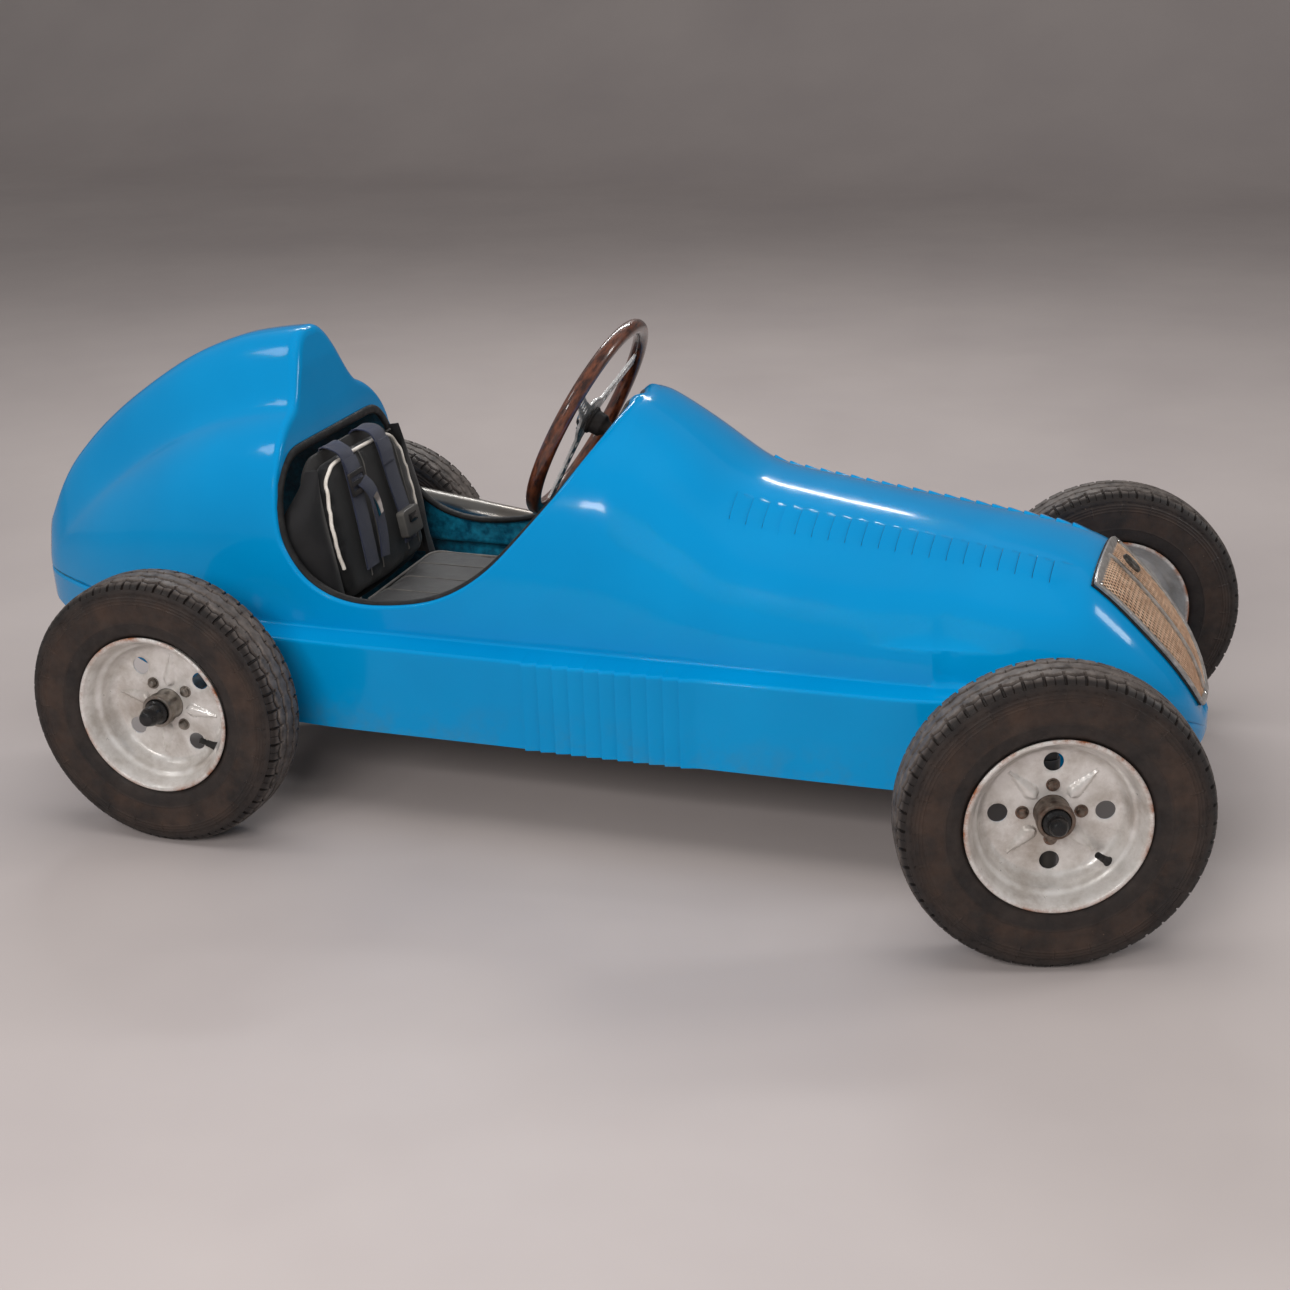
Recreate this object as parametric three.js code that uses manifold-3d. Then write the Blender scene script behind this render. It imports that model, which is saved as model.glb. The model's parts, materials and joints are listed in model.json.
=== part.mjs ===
// A child's pedal car shaped like a single-seat racing car.
// Millimetres. +X is forward, +Y is the car's left, +Z is up.
// While it is being built the car's own datum is the floor under the middle of the wheelbase;
// the finished group is moved so that its origin is the bottom centre of its box.
import * as THREE from "three";
import { mergeVertices } from "three/addons/utils/BufferGeometryUtils.js";
import Module from "manifold-3d";

const wasm = await Module();
wasm.setup();

// ---------------------------------------------------------------- driving dimensions
const GAP = 0.3; // clearance between touching pieces
const ORIGIN_SHIFT = 98.6; // from the wheelbase datum to the middle of the box

const WHEELBASE = 1191;
const FRONT_X = WHEELBASE / 2;
const REAR_X = -WHEELBASE / 2;
const TYRE_RADIUS = 189; // axle height: the bottom flat of the faceted tyre rests on the floor
const TYRE_HALF_WIDTH = 43;
const TYRE_SEGMENTS = 32;
const RIM_RADIUS = 113;
const RIM_HALF_WIDTH = 33;
const RIM_SEGMENTS = 24;
const KINGPIN_Y = 340.5;
const KINGPIN_OFFSET = 40; // kingpin to the front wheel's centre plane
const REAR_WHEEL_Y = 354;
const STEER_AT_REST = THREE.MathUtils.degToRad(19); // the front wheels are turned to the left
const STEER_ARM = 99;
const ARM_INBOARD = 14; // the steering arms stand this far inboard of the kingpins, clear of the tyres

const BEAM_Z = 118; // dropped front axle, under the body
const BEAM_RADIUS = 13;
const LINK_Z = 113; // height of the track rod

const COLUMN_TILT = THREE.MathUtils.degToRad(26.9); // the column falls towards the front
const WHEEL_CENTRE = new THREE.Vector3(-100, 0, 533);
const STEERING_RADIUS = 142;
const STEERING_TUBE = 10.5;
const COLUMN_RADIUS = 9;
const COLUMN_LENGTH = 722;

const RAIL_Y = 140;
const RAIL_SIZE = 25;
const FLOOR_Z = 136.5;
const FLOOR_THICK = 3;
const FLOOR_HALF = 234;
const RAIL_Z = FLOOR_Z + FLOOR_THICK + GAP; // underside of the rails

const CRANK_X = 330;
const CRANK_Z = 262;
const CRANK_ARM = 75;
const CHAIN_Y = -172;
const CHAINRING_RADIUS = 60;
const SPROCKET_RADIUS = 40;
const CHAIN_WIDTH = 8;
const CHAIN_THICK = 9;

const SHELL = 4; // thickness of the moulded body

// ---------------------------------------------------------------- materials
const paint = (color, roughness, metalness = 0) =>
  new THREE.MeshStandardMaterial({ color, roughness, metalness });
const BLUE = paint(0x0c86c4, 0.2);
const BLACK_RUBBER = paint(0x161616, 0.7);
const TYRE_RUBBER = paint(0x2a2624, 0.85);
const SILVER_PAINT = paint(0xaeb0b0, 0.45, 0.6);
const CHROME = paint(0xd0d2d4, 0.15, 1);
const ALLOY = paint(0xbfc2c4, 0.3, 1);
const BLACK_STEEL = paint(0x1b1c1e, 0.5, 0.3);
const BARE_STEEL = paint(0x8a8780, 0.4, 0.9);
const WOOD = paint(0x4a2413, 0.3);
const VINYL = paint(0x1a1b1e, 0.55);
const WEBBING = paint(0x1c2a47, 0.9);
const GAUZE = paint(0xa98a6a, 0.5, 0.6);
const PIPE_METAL = paint(0x77787a, 0.35, 0.9);

// ---------------------------------------------------------------- solids
const V3 = (x, y, z) => new THREE.Vector3(x, y, z);

/** Position-only copy of a geometry with shared vertices merged. */
function welded(geometry) {
  const bare = geometry.clone();
  bare.deleteAttribute("normal");
  bare.deleteAttribute("uv");
  return mergeVertices(bare, 1e-4);
}

function solid(geometry) {
  const bare = welded(geometry);
  const mesh = new wasm.Mesh({
    numProp: 3,
    vertProperties: new Float32Array(bare.attributes.position.array),
    triVerts: new Uint32Array(bare.index.array),
  });
  return new wasm.Manifold(mesh);
}

function geometryOf(manifold) {
  const mesh = manifold.getMesh();
  const geometry = new THREE.BufferGeometry();
  geometry.setAttribute("position", new THREE.BufferAttribute(mesh.vertProperties, mesh.numProp));
  geometry.setIndex(new THREE.BufferAttribute(mesh.triVerts, 1));
  return geometry;
}

const join = (...pieces) => geometryOf(pieces.map(solid).reduce((a, b) => a.add(b)));
const cut = (piece, ...tools) => geometryOf(tools.map(solid).reduce((a, b) => a.subtract(b), solid(piece)));

/** Box given by its lowest and highest corners. */
function block(low, high) {
  const size = high.map((value, i) => value - low[i]);
  const middle = high.map((value, i) => (value + low[i]) / 2);
  return new THREE.BoxGeometry(...size).translate(...middle);
}

/** Cylinder between two points. */
function rod(from, to, radius, sides = 16) {
  const axis = to.clone().sub(from);
  const turn = new THREE.Quaternion().setFromUnitVectors(V3(0, 1, 0), axis.clone().normalize());
  const shape = new THREE.CylinderGeometry(radius, radius, axis.length(), sides);
  shape.applyQuaternion(turn);
  const middle = from.clone().add(to).multiplyScalar(0.5);
  return shape.translate(middle.x, middle.y, middle.z);
}

/** Solid of revolution about the Y axis, from [radius, y] points that start and end on the axis or close. */
function turned(profile, segments, phase = 0) {
  const points = profile.map(([radius, y]) => new THREE.Vector2(radius, y));
  return outward(new THREE.LatheGeometry(points, segments, phase));
}

/** Flips a closed geometry whose faces point inwards. */
function outward(geometry) {
  const bare = welded(geometry);
  const position = bare.attributes.position;
  const index = bare.index.array;
  const a = V3();
  const b = V3();
  const c = V3();
  const kept = [];
  let volume = 0;
  for (let i = 0; i < index.length; i += 3) {
    const corners = [index[i], index[i + 1], index[i + 2]];
    if (new Set(corners).size < 3) continue;
    kept.push(...corners);
    a.fromBufferAttribute(position, corners[0]);
    b.fromBufferAttribute(position, corners[1]);
    c.fromBufferAttribute(position, corners[2]);
    volume += a.dot(b.cross(c));
  }
  if (volume < 0) kept.reverse();
  bare.setIndex(kept);
  return bare;
}

/** Closed skin through rings of points; the ends are closed with fans unless the rings form a loop. */
function lofted(rings, loop = false) {
  const count = rings[0].length;
  const positions = rings.flat().flatMap((p) => [p.x, p.y, p.z]);
  const faces = [];
  const last = loop ? rings.length : rings.length - 1;
  for (let i = 0; i < last; i++) {
    const next = (i + 1) % rings.length;
    for (let j = 0; j < count; j++) {
      const k = (j + 1) % count;
      faces.push(i * count + j, i * count + k, next * count + k);
      faces.push(i * count + j, next * count + k, next * count + j);
    }
  }
  if (!loop) {
    for (const [ring, flip] of [[0, true], [rings.length - 1, false]]) {
      const centre = positions.length / 3;
      const middle = rings[ring].reduce((sum, p) => sum.add(p), V3()).divideScalar(count);
      positions.push(middle.x, middle.y, middle.z);
      for (let j = 0; j < count; j++) {
        const edge = [ring * count + j, ring * count + ((j + 1) % count)];
        if (flip) edge.reverse();
        faces.push(edge[0], edge[1], centre);
      }
    }
  }
  const geometry = new THREE.BufferGeometry();
  geometry.setAttribute("position", new THREE.Float32BufferAttribute(positions, 3));
  geometry.setIndex(faces);
  return outward(geometry);
}

/** Round tube along a curve; a closed curve gives a ring with no ends. */
function tube(curve, radius, steps, sides, closed = false) {
  const frames = curve.computeFrenetFrames(steps, closed);
  const rings = [];
  for (let i = 0; i < (closed ? steps : steps + 1); i++) {
    const centre = curve.getPointAt(i / steps);
    const ring = [];
    for (let j = 0; j < sides; j++) {
      const angle = (2 * Math.PI * j) / sides;
      const point = centre.clone();
      point.addScaledVector(frames.normals[i], radius * Math.cos(angle));
      point.addScaledVector(frames.binormals[i], radius * Math.sin(angle));
      ring.push(point);
    }
    rings.push(ring);
  }
  return lofted(rings, closed);
}

/** Plate drawn in the side view as [x, z] points and given a range in y. */
function sidePlate(outline, yLow, yHigh, holes = []) {
  const shape = new THREE.Shape(outline.map(([x, z]) => new THREE.Vector2(x, z)));
  for (const hole of holes) {
    shape.holes.push(new THREE.Path(hole.map(([x, z]) => new THREE.Vector2(x, z))));
  }
  const plate = new THREE.ExtrudeGeometry(shape, { depth: yHigh - yLow, bevelEnabled: false });
  return plate.rotateX(Math.PI / 2).translate(0, yHigh, 0);
}

/** Points of a regular polygon with its corners on a circle, as [x, z]. */
function polygon(x, z, radius, sides, phase = 0) {
  return Array.from({ length: sides }, (_, i) => {
    const angle = phase + (2 * Math.PI * i) / sides;
    return [x + radius * Math.cos(angle), z + radius * Math.sin(angle)];
  });
}

// ---------------------------------------------------------------- scene graph
const car = new THREE.Group();
function add(name, geometry, material, parent = car) {
  const mesh = new THREE.Mesh(outward(geometry), material);
  mesh.name = name;
  parent.add(mesh);
  return mesh;
}

// ---------------------------------------------------------------- body
// Cross-sections from tail to nose. Each row: x, bottom z, bottom half-width, sill half-width, sill top z,
// flank half-width, flank foot z, top z without the fairing, roundness, fairing height, fairing half-width.
const SECTIONS = [
  [-991, 225, 3, 3, 262, 3, 266, 288, 2.2, 8, 3],
  [-988, 208, 14, 16, 254, 16, 258, 296, 2.2, 26, 14],
  [-977, 203, 28, 32, 252, 32, 256, 300, 2.2, 38, 27],
  [-955, 199, 46, 51, 252, 51, 256, 324, 2.2, 58, 40],
  [-930, 195, 64, 69, 252, 68, 256, 350, 2.2, 70, 50],
  [-880, 187, 94, 100, 253, 98, 258, 392, 2.3, 80, 61],
  [-827, 178, 122, 130, 254, 126, 260, 430, 2.4, 86, 69],
  [-760, 167, 154, 164, 256, 155, 262, 473, 2.5, 89, 77],
  [-700, 157, 178, 190, 258, 177, 264, 506, 2.6, 92, 84],
  [-620, 146, 206, 220, 260, 197, 266, 536, 2.8, 93, 91],
  [-533, 138, 232, 242, 262, 208, 267, 553, 3, 90, 95],
  [-480, 136, 242, 249, 262, 211, 267, 556, 3, 88, 96],
  [-400, 135, 246, 250, 262, 213, 267, 558, 2.9, 70, 96],
  [-250, 135, 246, 250, 262, 213, 267, 562, 2.7, 20, 96],
  [-120, 135, 246, 250, 262, 213, 267, 570, 2.5, 4, 96],
  [0, 135, 246, 250, 262, 213, 267, 572, 2.35, 0, 96],
  [62, 135, 246, 250, 262, 213, 267, 537, 2.3, 0, 96],
  [146, 135, 246, 250, 262, 213, 267, 477, 2.25, 0, 96],
  [272, 135, 246, 250, 262, 213, 267, 457, 2.25, 0, 96],
  [408, 135, 245, 249, 262, 213, 267, 437, 2.25, 0, 96],
  [430, 135, 242, 246, 262, 212, 267, 433, 2.25, 0, 96],
  [470, 135, 234, 238, 262, 202, 267, 427, 2.3, 0, 96],
  [540, 135, 211, 215, 259, 199, 263, 416, 2.4, 0, 96],
  [603, 137, 182, 187, 252, 186, 255, 399, 2.6, 0, 96],
  [636, 139, 163, 168, 243, 168, 246, 370, 2.8, 0, 96],
  [677, 142, 139, 144, 230, 144, 233, 327, 3, 0, 96],
  [714, 146, 107, 112, 213, 112, 216, 281, 3.1, 0, 96],
  [737, 149, 76, 80, 199, 80, 202, 239, 3, 0, 96],
  [748, 152, 49, 52, 186, 52, 188, 203, 2.8, 0, 96],
  [753, 155, 32, 35, 177, 35, 179, 189, 2.5, 0, 96],
  [757, 162, 5, 6, 167, 6, 168, 172, 2.2, 0, 96],
];
const SECTION_ARC_STEPS = 7;

/** Value of one column at a given x, straight between rows. */
function column(index, x) {
  const last = SECTIONS.length - 1;
  const at = THREE.MathUtils.clamp(x, SECTIONS[0][0], SECTIONS[last][0]);
  const row = Math.min(last - 1, SECTIONS.findLastIndex((s) => s[0] <= at));
  const [low, high] = [SECTIONS[row], SECTIONS[row + 1]];
  return low[index] + ((high[index] - low[index]) * (at - low[0])) / (high[0] - low[0]);
}

/** Half-width of the flank at a height above its foot. */
function flankHalfWidth(x, z) {
  const [halfWidth, foot, top, power] = [5, 6, 7, 8].map((i) => column(i, x));
  const rise = THREE.MathUtils.clamp((z - foot) / (top - foot), 0, 1);
  return halfWidth * (1 - rise ** power) ** (1 / power);
}

/** One cross-section as a ring, grown outwards (or, if negative, inwards) by an amount. */
function bodyRing(x, grow) {
  // an inner ring takes the tighter of its two neighbours, so the ends keep their thickness too
  const reach = Math.abs(grow) * 1.5;
  const pick = grow < 0 ? Math.min : Math.max;
  const value = (i) => pick(column(i, x), column(i, x - reach), column(i, x + reach));
  const bottom = grow < 0 ? column(1, x) - 30 : column(1, x) - grow;
  const [low, sill, flank] = [2, 3, 5].map((i) => Math.max(value(i) + grow, 1));
  const ledge = value(4) + grow;
  const foot = value(6) + grow;
  const top = Math.max(value(7) + grow, foot + 2);
  const power = column(8, x);
  const fairing = Math.max(value(9), 0);
  const fairingHalf = Math.max(value(10) + grow, 2);
  const half = [[low, bottom], [sill, ledge - 12], [sill - 2, ledge]];
  for (let k = 0; k <= SECTION_ARC_STEPS; k++) {
    const angle = (Math.PI / 2) * (k / SECTION_ARC_STEPS);
    const y = k === SECTION_ARC_STEPS ? 0 : flank * Math.cos(angle) ** (2 / power);
    const bump = Math.max(0, 1 - (y / fairingHalf) ** 2) ** 1.2;
    half.push([y, foot + (top - foot) * Math.sin(angle) ** (2 / power) + fairing * bump]);
  }
  const mirrored = half.slice(0, -1).reverse().map(([y, z]) => [-y, z]);
  return [...half, ...mirrored].map(([y, z]) => V3(x, y, z));
}

function bodyLoft(grow) {
  const inset = grow < 0 ? -grow * 2 : 0;
  const first = SECTIONS[0][0] + inset - Math.max(grow, 0);
  const last = SECTIONS.at(-1)[0] - inset + Math.max(grow, 0);
  const inner = SECTIONS.map((s) => s[0]).filter((x) => x > first + 1 && x < last - 1);
  return lofted([first, ...inner, last].map((x) => bodyRing(x, grow)));
}

// Cockpit opening, seen from the side: the edge from the top of the cowl down and back up to the fairing.
const COCKPIT_EDGE = new THREE.CatmullRomCurve3(
  [[0, 576], [-43, 519], [-104, 441], [-177, 362], [-250, 318], [-335, 302], [-400, 306], [-450, 332],
    [-486, 380], [-501, 440], [-499, 490]].map(([x, z]) => V3(x, 0, z)),
);
const FAIRING_BASE_Z = 490;
const FAIRING_FACE = [[-499, FAIRING_BASE_Z], [-534, 645], [-542, 690]];
const edgePoints = COCKPIT_EDGE.getPoints(18).map((p) => [p.x, p.z]);
const cockpitCutter = sidePlate([[22, 606], ...edgePoints, ...FAIRING_FACE.slice(1), [22, 690]], -320, 320);

// The wall that closes the front of the headrest fairing
const fairingWall = sidePlate(
  [[-499 - SHELL, FAIRING_BASE_Z], [-380, FAIRING_BASE_Z], [-380, 700], [-547 - SHELL, 700]], -320, 320,
);

// Slots up from the bottom edge for the rear axle
const SLOT_HALF = 18;
const axleSlot = (side) => {
  const [yLow, yHigh] = side > 0 ? [120, 300] : [-300, -120];
  return block([REAR_X - SLOT_HALF, yLow, 60], [REAR_X + SLOT_HALF, yHigh, 212]);
};

function bodyShell() {
  const inside = solid(bodyLoft(-SHELL)).subtract(solid(fairingWall));
  return geometryOf(
    solid(bodyLoft(0))
      .subtract(inside)
      .subtract(solid(cockpitCutter))
      .subtract(solid(axleSlot(1)))
      .subtract(solid(axleSlot(-1))),
  );
}
add("body_shell", bodyShell(), BLUE);

/** Rubber edging: a bead just inside the cut edge, all round the opening. */
function cockpitTrim() {
  const radius = 5.5;
  const steps = 15;
  const side = [];
  for (let i = 0; i <= steps; i++) {
    const t = THREE.MathUtils.lerp(0.07, 0.985, i / steps);
    const point = COCKPIT_EDGE.getPointAt(t);
    const along = COCKPIT_EDGE.getTangentAt(t);
    const inwards = V3(along.z, 0, -along.x).multiplyScalar(radius + 3);
    const at = point.clone().add(inwards);
    side.push(V3(at.x, flankHalfWidth(point.x, point.z) - 9, at.z));
  }
  const top = COCKPIT_EDGE.getPointAt(0);
  const loop = [V3(top.x - 14, 0, top.z - 12), ...side];
  const rearLow = FAIRING_BASE_Z - 8;
  for (const y of [90, 0, -90]) loop.push(V3(-497, y, rearLow));
  loop.push(...side.slice().reverse().map((p) => V3(p.x, -p.y, p.z)));
  return tube(new THREE.CatmullRomCurve3(loop, true, "centripetal"), radius, 64, 6, true);
}
add("cockpit_trim", cockpitTrim(), BLACK_RUBBER);

// ---------------------------------------------------------------- grille
// Upright curve of the grille's middle, [x, z], and its half-width at each point
const GRILLE = [
  [608, 399, 99], [636, 371, 97], [677, 327, 91], [714, 281, 76], [737, 239, 54], [748, 204, 27],
];
const GRILLE_STAND = 1.5; // clear of the body
const GRILLE_THICK = 4;

/** Curved strip over the nose between two fractions of the grille's half-width. */
function grilleStrip(inner, outer, stand, thick, rows = GRILLE) {
  const steps = 4;
  const across = Array.from({ length: steps + 1 }, (_, i) => inner + ((outer - inner) * i) / steps);
  const rings = rows.map(([x, z, half]) => {
    const top = column(7, x);
    const point = (y, rise) => V3(x + rise, y, noseHeight(x, Math.abs(y)) + (z - top) + rise * 0.8);
    const under = across.map((share) => point(half * share, stand));
    const over = across.map((share) => point(half * share, stand + thick)).reverse();
    return [...under, ...over];
  });
  return lofted(rings);
}

/** Height of the body's top at x and y on the nose. */
function noseHeight(x, y) {
  const [halfWidth, foot, top, power] = [5, 6, 7, 8].map((i) => column(i, x));
  const out = Math.min(y / halfWidth, 0.98);
  return foot + (top - foot) * (1 - out ** power) ** (1 / power);
}

function grilleFrame() {
  const outer = grilleStrip(-1, 1, GRILLE_STAND, GRILLE_THICK);
  const window = grilleStrip(-0.86, 0.86, GRILLE_STAND - 10, GRILLE_THICK + 30, grilleWindow(0));
  const bar = grilleStrip(-0.04, 0.04, GRILLE_STAND + 3.2, GRILLE_THICK);
  return geometryOf(solid(outer).subtract(solid(window)).add(solid(bar)));
}
/** The grille's rows inside its top band and above its tip, drawn in by a margin. */
function grilleWindow(margin) {
  return GRILLE.slice(0, -1).map(([x, z, half], i) => {
    const [alongX, alongZ] = i === 0 ? [7 + margin, -7 - margin] : [0, i === GRILLE.length - 2 ? margin : 0];
    return [x + alongX, z + alongZ, half];
  });
}
add("grille_frame", grilleFrame(), CHROME);
add("grille_mesh", grilleStrip(-0.81, 0.81, GRILLE_STAND, 1.6, grilleWindow(3.5)), GAUZE);

// Blank oval badge on the middle bar
const badge = new THREE.CylinderGeometry(15, 15, 5, 20);
badge.scale(1, 1, 0.62).rotateX(Math.PI / 2).rotateY(Math.PI / 4).translate(647.5, 0, 383);
add("grille_badge", badge, BLACK_STEEL);

// ---------------------------------------------------------------- chassis
function railBlock(y) {
  return block([-640, y - RAIL_SIZE / 2, RAIL_Z], [612, y + RAIL_SIZE / 2, RAIL_Z + RAIL_SIZE]);
}
const RAIL_TOP = RAIL_Z + RAIL_SIZE;
add("chassis_rail_left", railBlock(RAIL_Y), BLACK_STEEL);
add("chassis_rail_right", railBlock(-RAIL_Y), BLACK_STEEL);
const CROSS_X = [-470, 470];
for (const [i, x] of CROSS_X.entries()) {
  const half = RAIL_Y - RAIL_SIZE / 2 - GAP;
  const bar = block([x - 10, -half, RAIL_Z + 2], [x + 10, half, RAIL_Z + 22]);
  add(`cross_member_${i + 1}`, bar, BLACK_STEEL);
}
add("floor_pan", block([-440, -FLOOR_HALF, FLOOR_Z], [415, FLOOR_HALF, FLOOR_Z + FLOOR_THICK]), BLACK_STEEL);

// ---------------------------------------------------------------- front axle and steering
const KINGPIN_RADIUS = 7;
const KNUCKLE_LOW = 133;
const KNUCKLE_HIGH = 246;

function frontAxle() {
  const pieces = [rod(V3(FRONT_X, -KINGPIN_Y, BEAM_Z), V3(FRONT_X, KINGPIN_Y, BEAM_Z), BEAM_RADIUS)];
  for (const side of [-1, 1]) {
    const y = side * KINGPIN_Y;
    pieces.push(rod(V3(FRONT_X, y, BEAM_Z - 15), V3(FRONT_X, y, KNUCKLE_LOW - GAP), 15));
    pieces.push(rod(V3(FRONT_X, y, BEAM_Z), V3(FRONT_X, y, KNUCKLE_HIGH + 16), KINGPIN_RADIUS, 12));
    // nut that keeps the stub axle on its kingpin
    pieces.push(rod(V3(FRONT_X, y, KNUCKLE_HIGH + GAP), V3(FRONT_X, y, KNUCKLE_HIGH + 11), 13, 6));
    // pad that the chassis rail sits on
    const padY = side * RAIL_Y;
    pieces.push(block([FRONT_X - 15, padY - 12, BEAM_Z], [FRONT_X + 15, padY + 12, RAIL_Z - GAP]));
  }
  return join(...pieces);
}
add("front_axle", frontAxle(), BLACK_STEEL);

const front = {};
for (const [side, label] of [[1, "left"], [-1, "right"]]) {
  const knuckle = new THREE.Group();
  knuckle.position.set(FRONT_X, side * KINGPIN_Y, 0);
  knuckle.rotation.z = STEER_AT_REST;
  car.add(knuckle);
  const stub = side * (KINGPIN_OFFSET + 22);
  const armY = -side * ARM_INBOARD;
  const pieces = [
    rod(V3(0, 0, KNUCKLE_LOW), V3(0, 0, KNUCKLE_HIGH), 14),
    rod(V3(0, 0, TYRE_RADIUS), V3(0, stub, TYRE_RADIUS), 8, 12),
    block([-STEER_ARM - 9, armY - 6, KNUCKLE_LOW], [8, armY + 6, KNUCKLE_LOW + 9]),
  ];
  const bore = rod(V3(0, 0, KNUCKLE_LOW - 1), V3(0, 0, KNUCKLE_HIGH + 1), KINGPIN_RADIUS + 0.6, 12);
  const body = solid(join(...pieces)).subtract(solid(bore));
  add(`stub_axle_${label}`, geometryOf(body), BLACK_STEEL, knuckle);
  front[label] = knuckle;
}

// Track rod: joins the ends of both steering arms, with a middle lug under the drop arm
function armEnd(side) {
  const end = V3(-STEER_ARM, -side * ARM_INBOARD, LINK_Z);
  return end.applyAxisAngle(V3(0, 0, 1), STEER_AT_REST).add(V3(FRONT_X, side * KINGPIN_Y, 0));
}
function trackRod() {
  const ends = [armEnd(1), armEnd(-1)];
  const pieces = [rod(...ends, 6, 12)];
  for (const end of ends) {
    pieces.push(rod(end.clone().setZ(LINK_Z - 9), end.clone().setZ(LINK_Z + 9), 9, 12));
    pieces.push(rod(end.clone().setZ(LINK_Z), end.clone().setZ(KNUCKLE_LOW - 0.8), 4, 8));
  }
  const middle = ends[0].clone().add(ends[1]).multiplyScalar(0.5);
  pieces.push(rod(middle.clone().setZ(LINK_Z - 8), middle.clone().setZ(LINK_Z + 8), 11, 12));
  return join(...pieces);
}
add("track_rod", trackRod(), BARE_STEEL);

// Everything that turns with the steering wheel is built along the column: local +X runs down the column
const columnGroup = new THREE.Group();
columnGroup.position.copy(WHEEL_CENTRE);
columnGroup.rotation.y = COLUMN_TILT;
car.add(columnGroup);
const columnTube = rod(V3(10, 0, 0), V3(COLUMN_LENGTH, 0, 0), COLUMN_RADIUS, 12);
const columnHub = rod(V3(5 + GAP, 0, 0), V3(24, 0, 0), 20, 16);
add("steering_column", join(columnTube, columnHub), BLACK_STEEL, columnGroup);

function dropArm() {
  // hangs from the foot of the column towards the track rod's lug
  const hub = rod(V3(COLUMN_LENGTH - 24, 0, 0), V3(COLUMN_LENGTH - 2, 0, 0), 16);
  const arm = block([COLUMN_LENGTH - 17, -8, -84], [COLUMN_LENGTH - 9, 8, 0]);
  const bore = rod(V3(COLUMN_LENGTH - 40, 0, 0), V3(COLUMN_LENGTH + 10, 0, 0), COLUMN_RADIUS + GAP);
  return geometryOf(solid(join(hub, arm)).subtract(solid(bore)));
}
const dropArmGroup = new THREE.Group();
dropArmGroup.rotation.x = -STEER_AT_REST;
columnGroup.add(dropArmGroup);
add("drop_arm", dropArm(), BARE_STEEL, dropArmGroup);

const ringCurve = new THREE.EllipseCurve(0, 0, STEERING_RADIUS, STEERING_RADIUS).getPoints(40).slice(0, -1)
  .map((p) => V3(0, p.x, p.y));
const steeringRim = tube(new THREE.CatmullRomCurve3(ringCurve, true), STEERING_TUBE, 40, 8, true);
add("steering_rim", steeringRim, WOOD, columnGroup);

function steeringSpokes() {
  const pieces = [rod(V3(-3, 0, 0), V3(5, 0, 0), 30, 20)];
  for (const turn of [0, 1, 2]) {
    const spoke = block([-1.5, -13, -(STEERING_RADIUS - STEERING_TUBE - 1.5)], [2.5, 13, -20]);
    pieces.push(spoke.rotateX((turn * 2 * Math.PI) / 3));
  }
  return join(...pieces);
}
add("steering_spokes", steeringSpokes(), ALLOY, columnGroup);
add("steering_boss", rod(V3(-12, 0, 0), V3(-3 - GAP, 0, 0), 17, 16), CHROME, columnGroup);

// Hoop under the scuttle that carries the column, with its bush
const HOOP_X = 100;
const HOOP_TUBE = 8;
const columnZ = (x) => WHEEL_CENTRE.z - (x - WHEEL_CENTRE.x) * Math.tan(COLUMN_TILT);
const hoopTop = columnZ(HOOP_X) - 34;
function scuttleHoop() {
  const corner = 40;
  const path = new THREE.CurvePath();
  const left = [V3(HOOP_X, RAIL_Y, RAIL_TOP + GAP), V3(HOOP_X, RAIL_Y, hoopTop - corner)];
  const bendLeft = [left[1], V3(HOOP_X, RAIL_Y, hoopTop), V3(HOOP_X, RAIL_Y - corner, hoopTop)];
  const bendRight = bendLeft.map((p) => V3(p.x, -p.y, p.z)).reverse();
  path.add(new THREE.LineCurve3(left[0], left[1]));
  path.add(new THREE.QuadraticBezierCurve3(...bendLeft));
  path.add(new THREE.LineCurve3(bendLeft[2], bendRight[0]));
  path.add(new THREE.QuadraticBezierCurve3(...bendRight));
  path.add(new THREE.LineCurve3(bendRight[2], V3(HOOP_X, -RAIL_Y, RAIL_TOP + GAP)));
  return tube(path, HOOP_TUBE, 18, 8);
}
add("scuttle_hoop", scuttleHoop(), BLACK_STEEL);
function columnBush() {
  const low = [HOOP_X - 14, -18, hoopTop + HOOP_TUBE + GAP];
  const housing = block(low, [HOOP_X + 14, 18, columnZ(HOOP_X) + 18]);
  const boreRadius = COLUMN_RADIUS + GAP;
  const bore = new THREE.CylinderGeometry(boreRadius, boreRadius, 120, 16).rotateZ(Math.PI / 2);
  bore.rotateY(COLUMN_TILT).translate(HOOP_X, 0, columnZ(HOOP_X));
  return cut(housing, bore);
}
add("column_bush", columnBush(), BLACK_RUBBER);

// ---------------------------------------------------------------- wheels
// Built about the origin with the outer face towards -Y
const TYRE_PROFILE = [
  [RIM_RADIUS - 1, -RIM_HALF_WIDTH - 1], [158, -TYRE_HALF_WIDTH], [179, -38.5], [TYRE_RADIUS, -20],
  [TYRE_RADIUS, 20], [179, 38.5], [158, TYRE_HALF_WIDTH], [RIM_RADIUS - 1, RIM_HALF_WIDTH + 1],
];
// corner radius of a faceted tyre whose flats are at the stated radius
const flatScale = 1 / Math.cos(Math.PI / TYRE_SEGMENTS);

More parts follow.
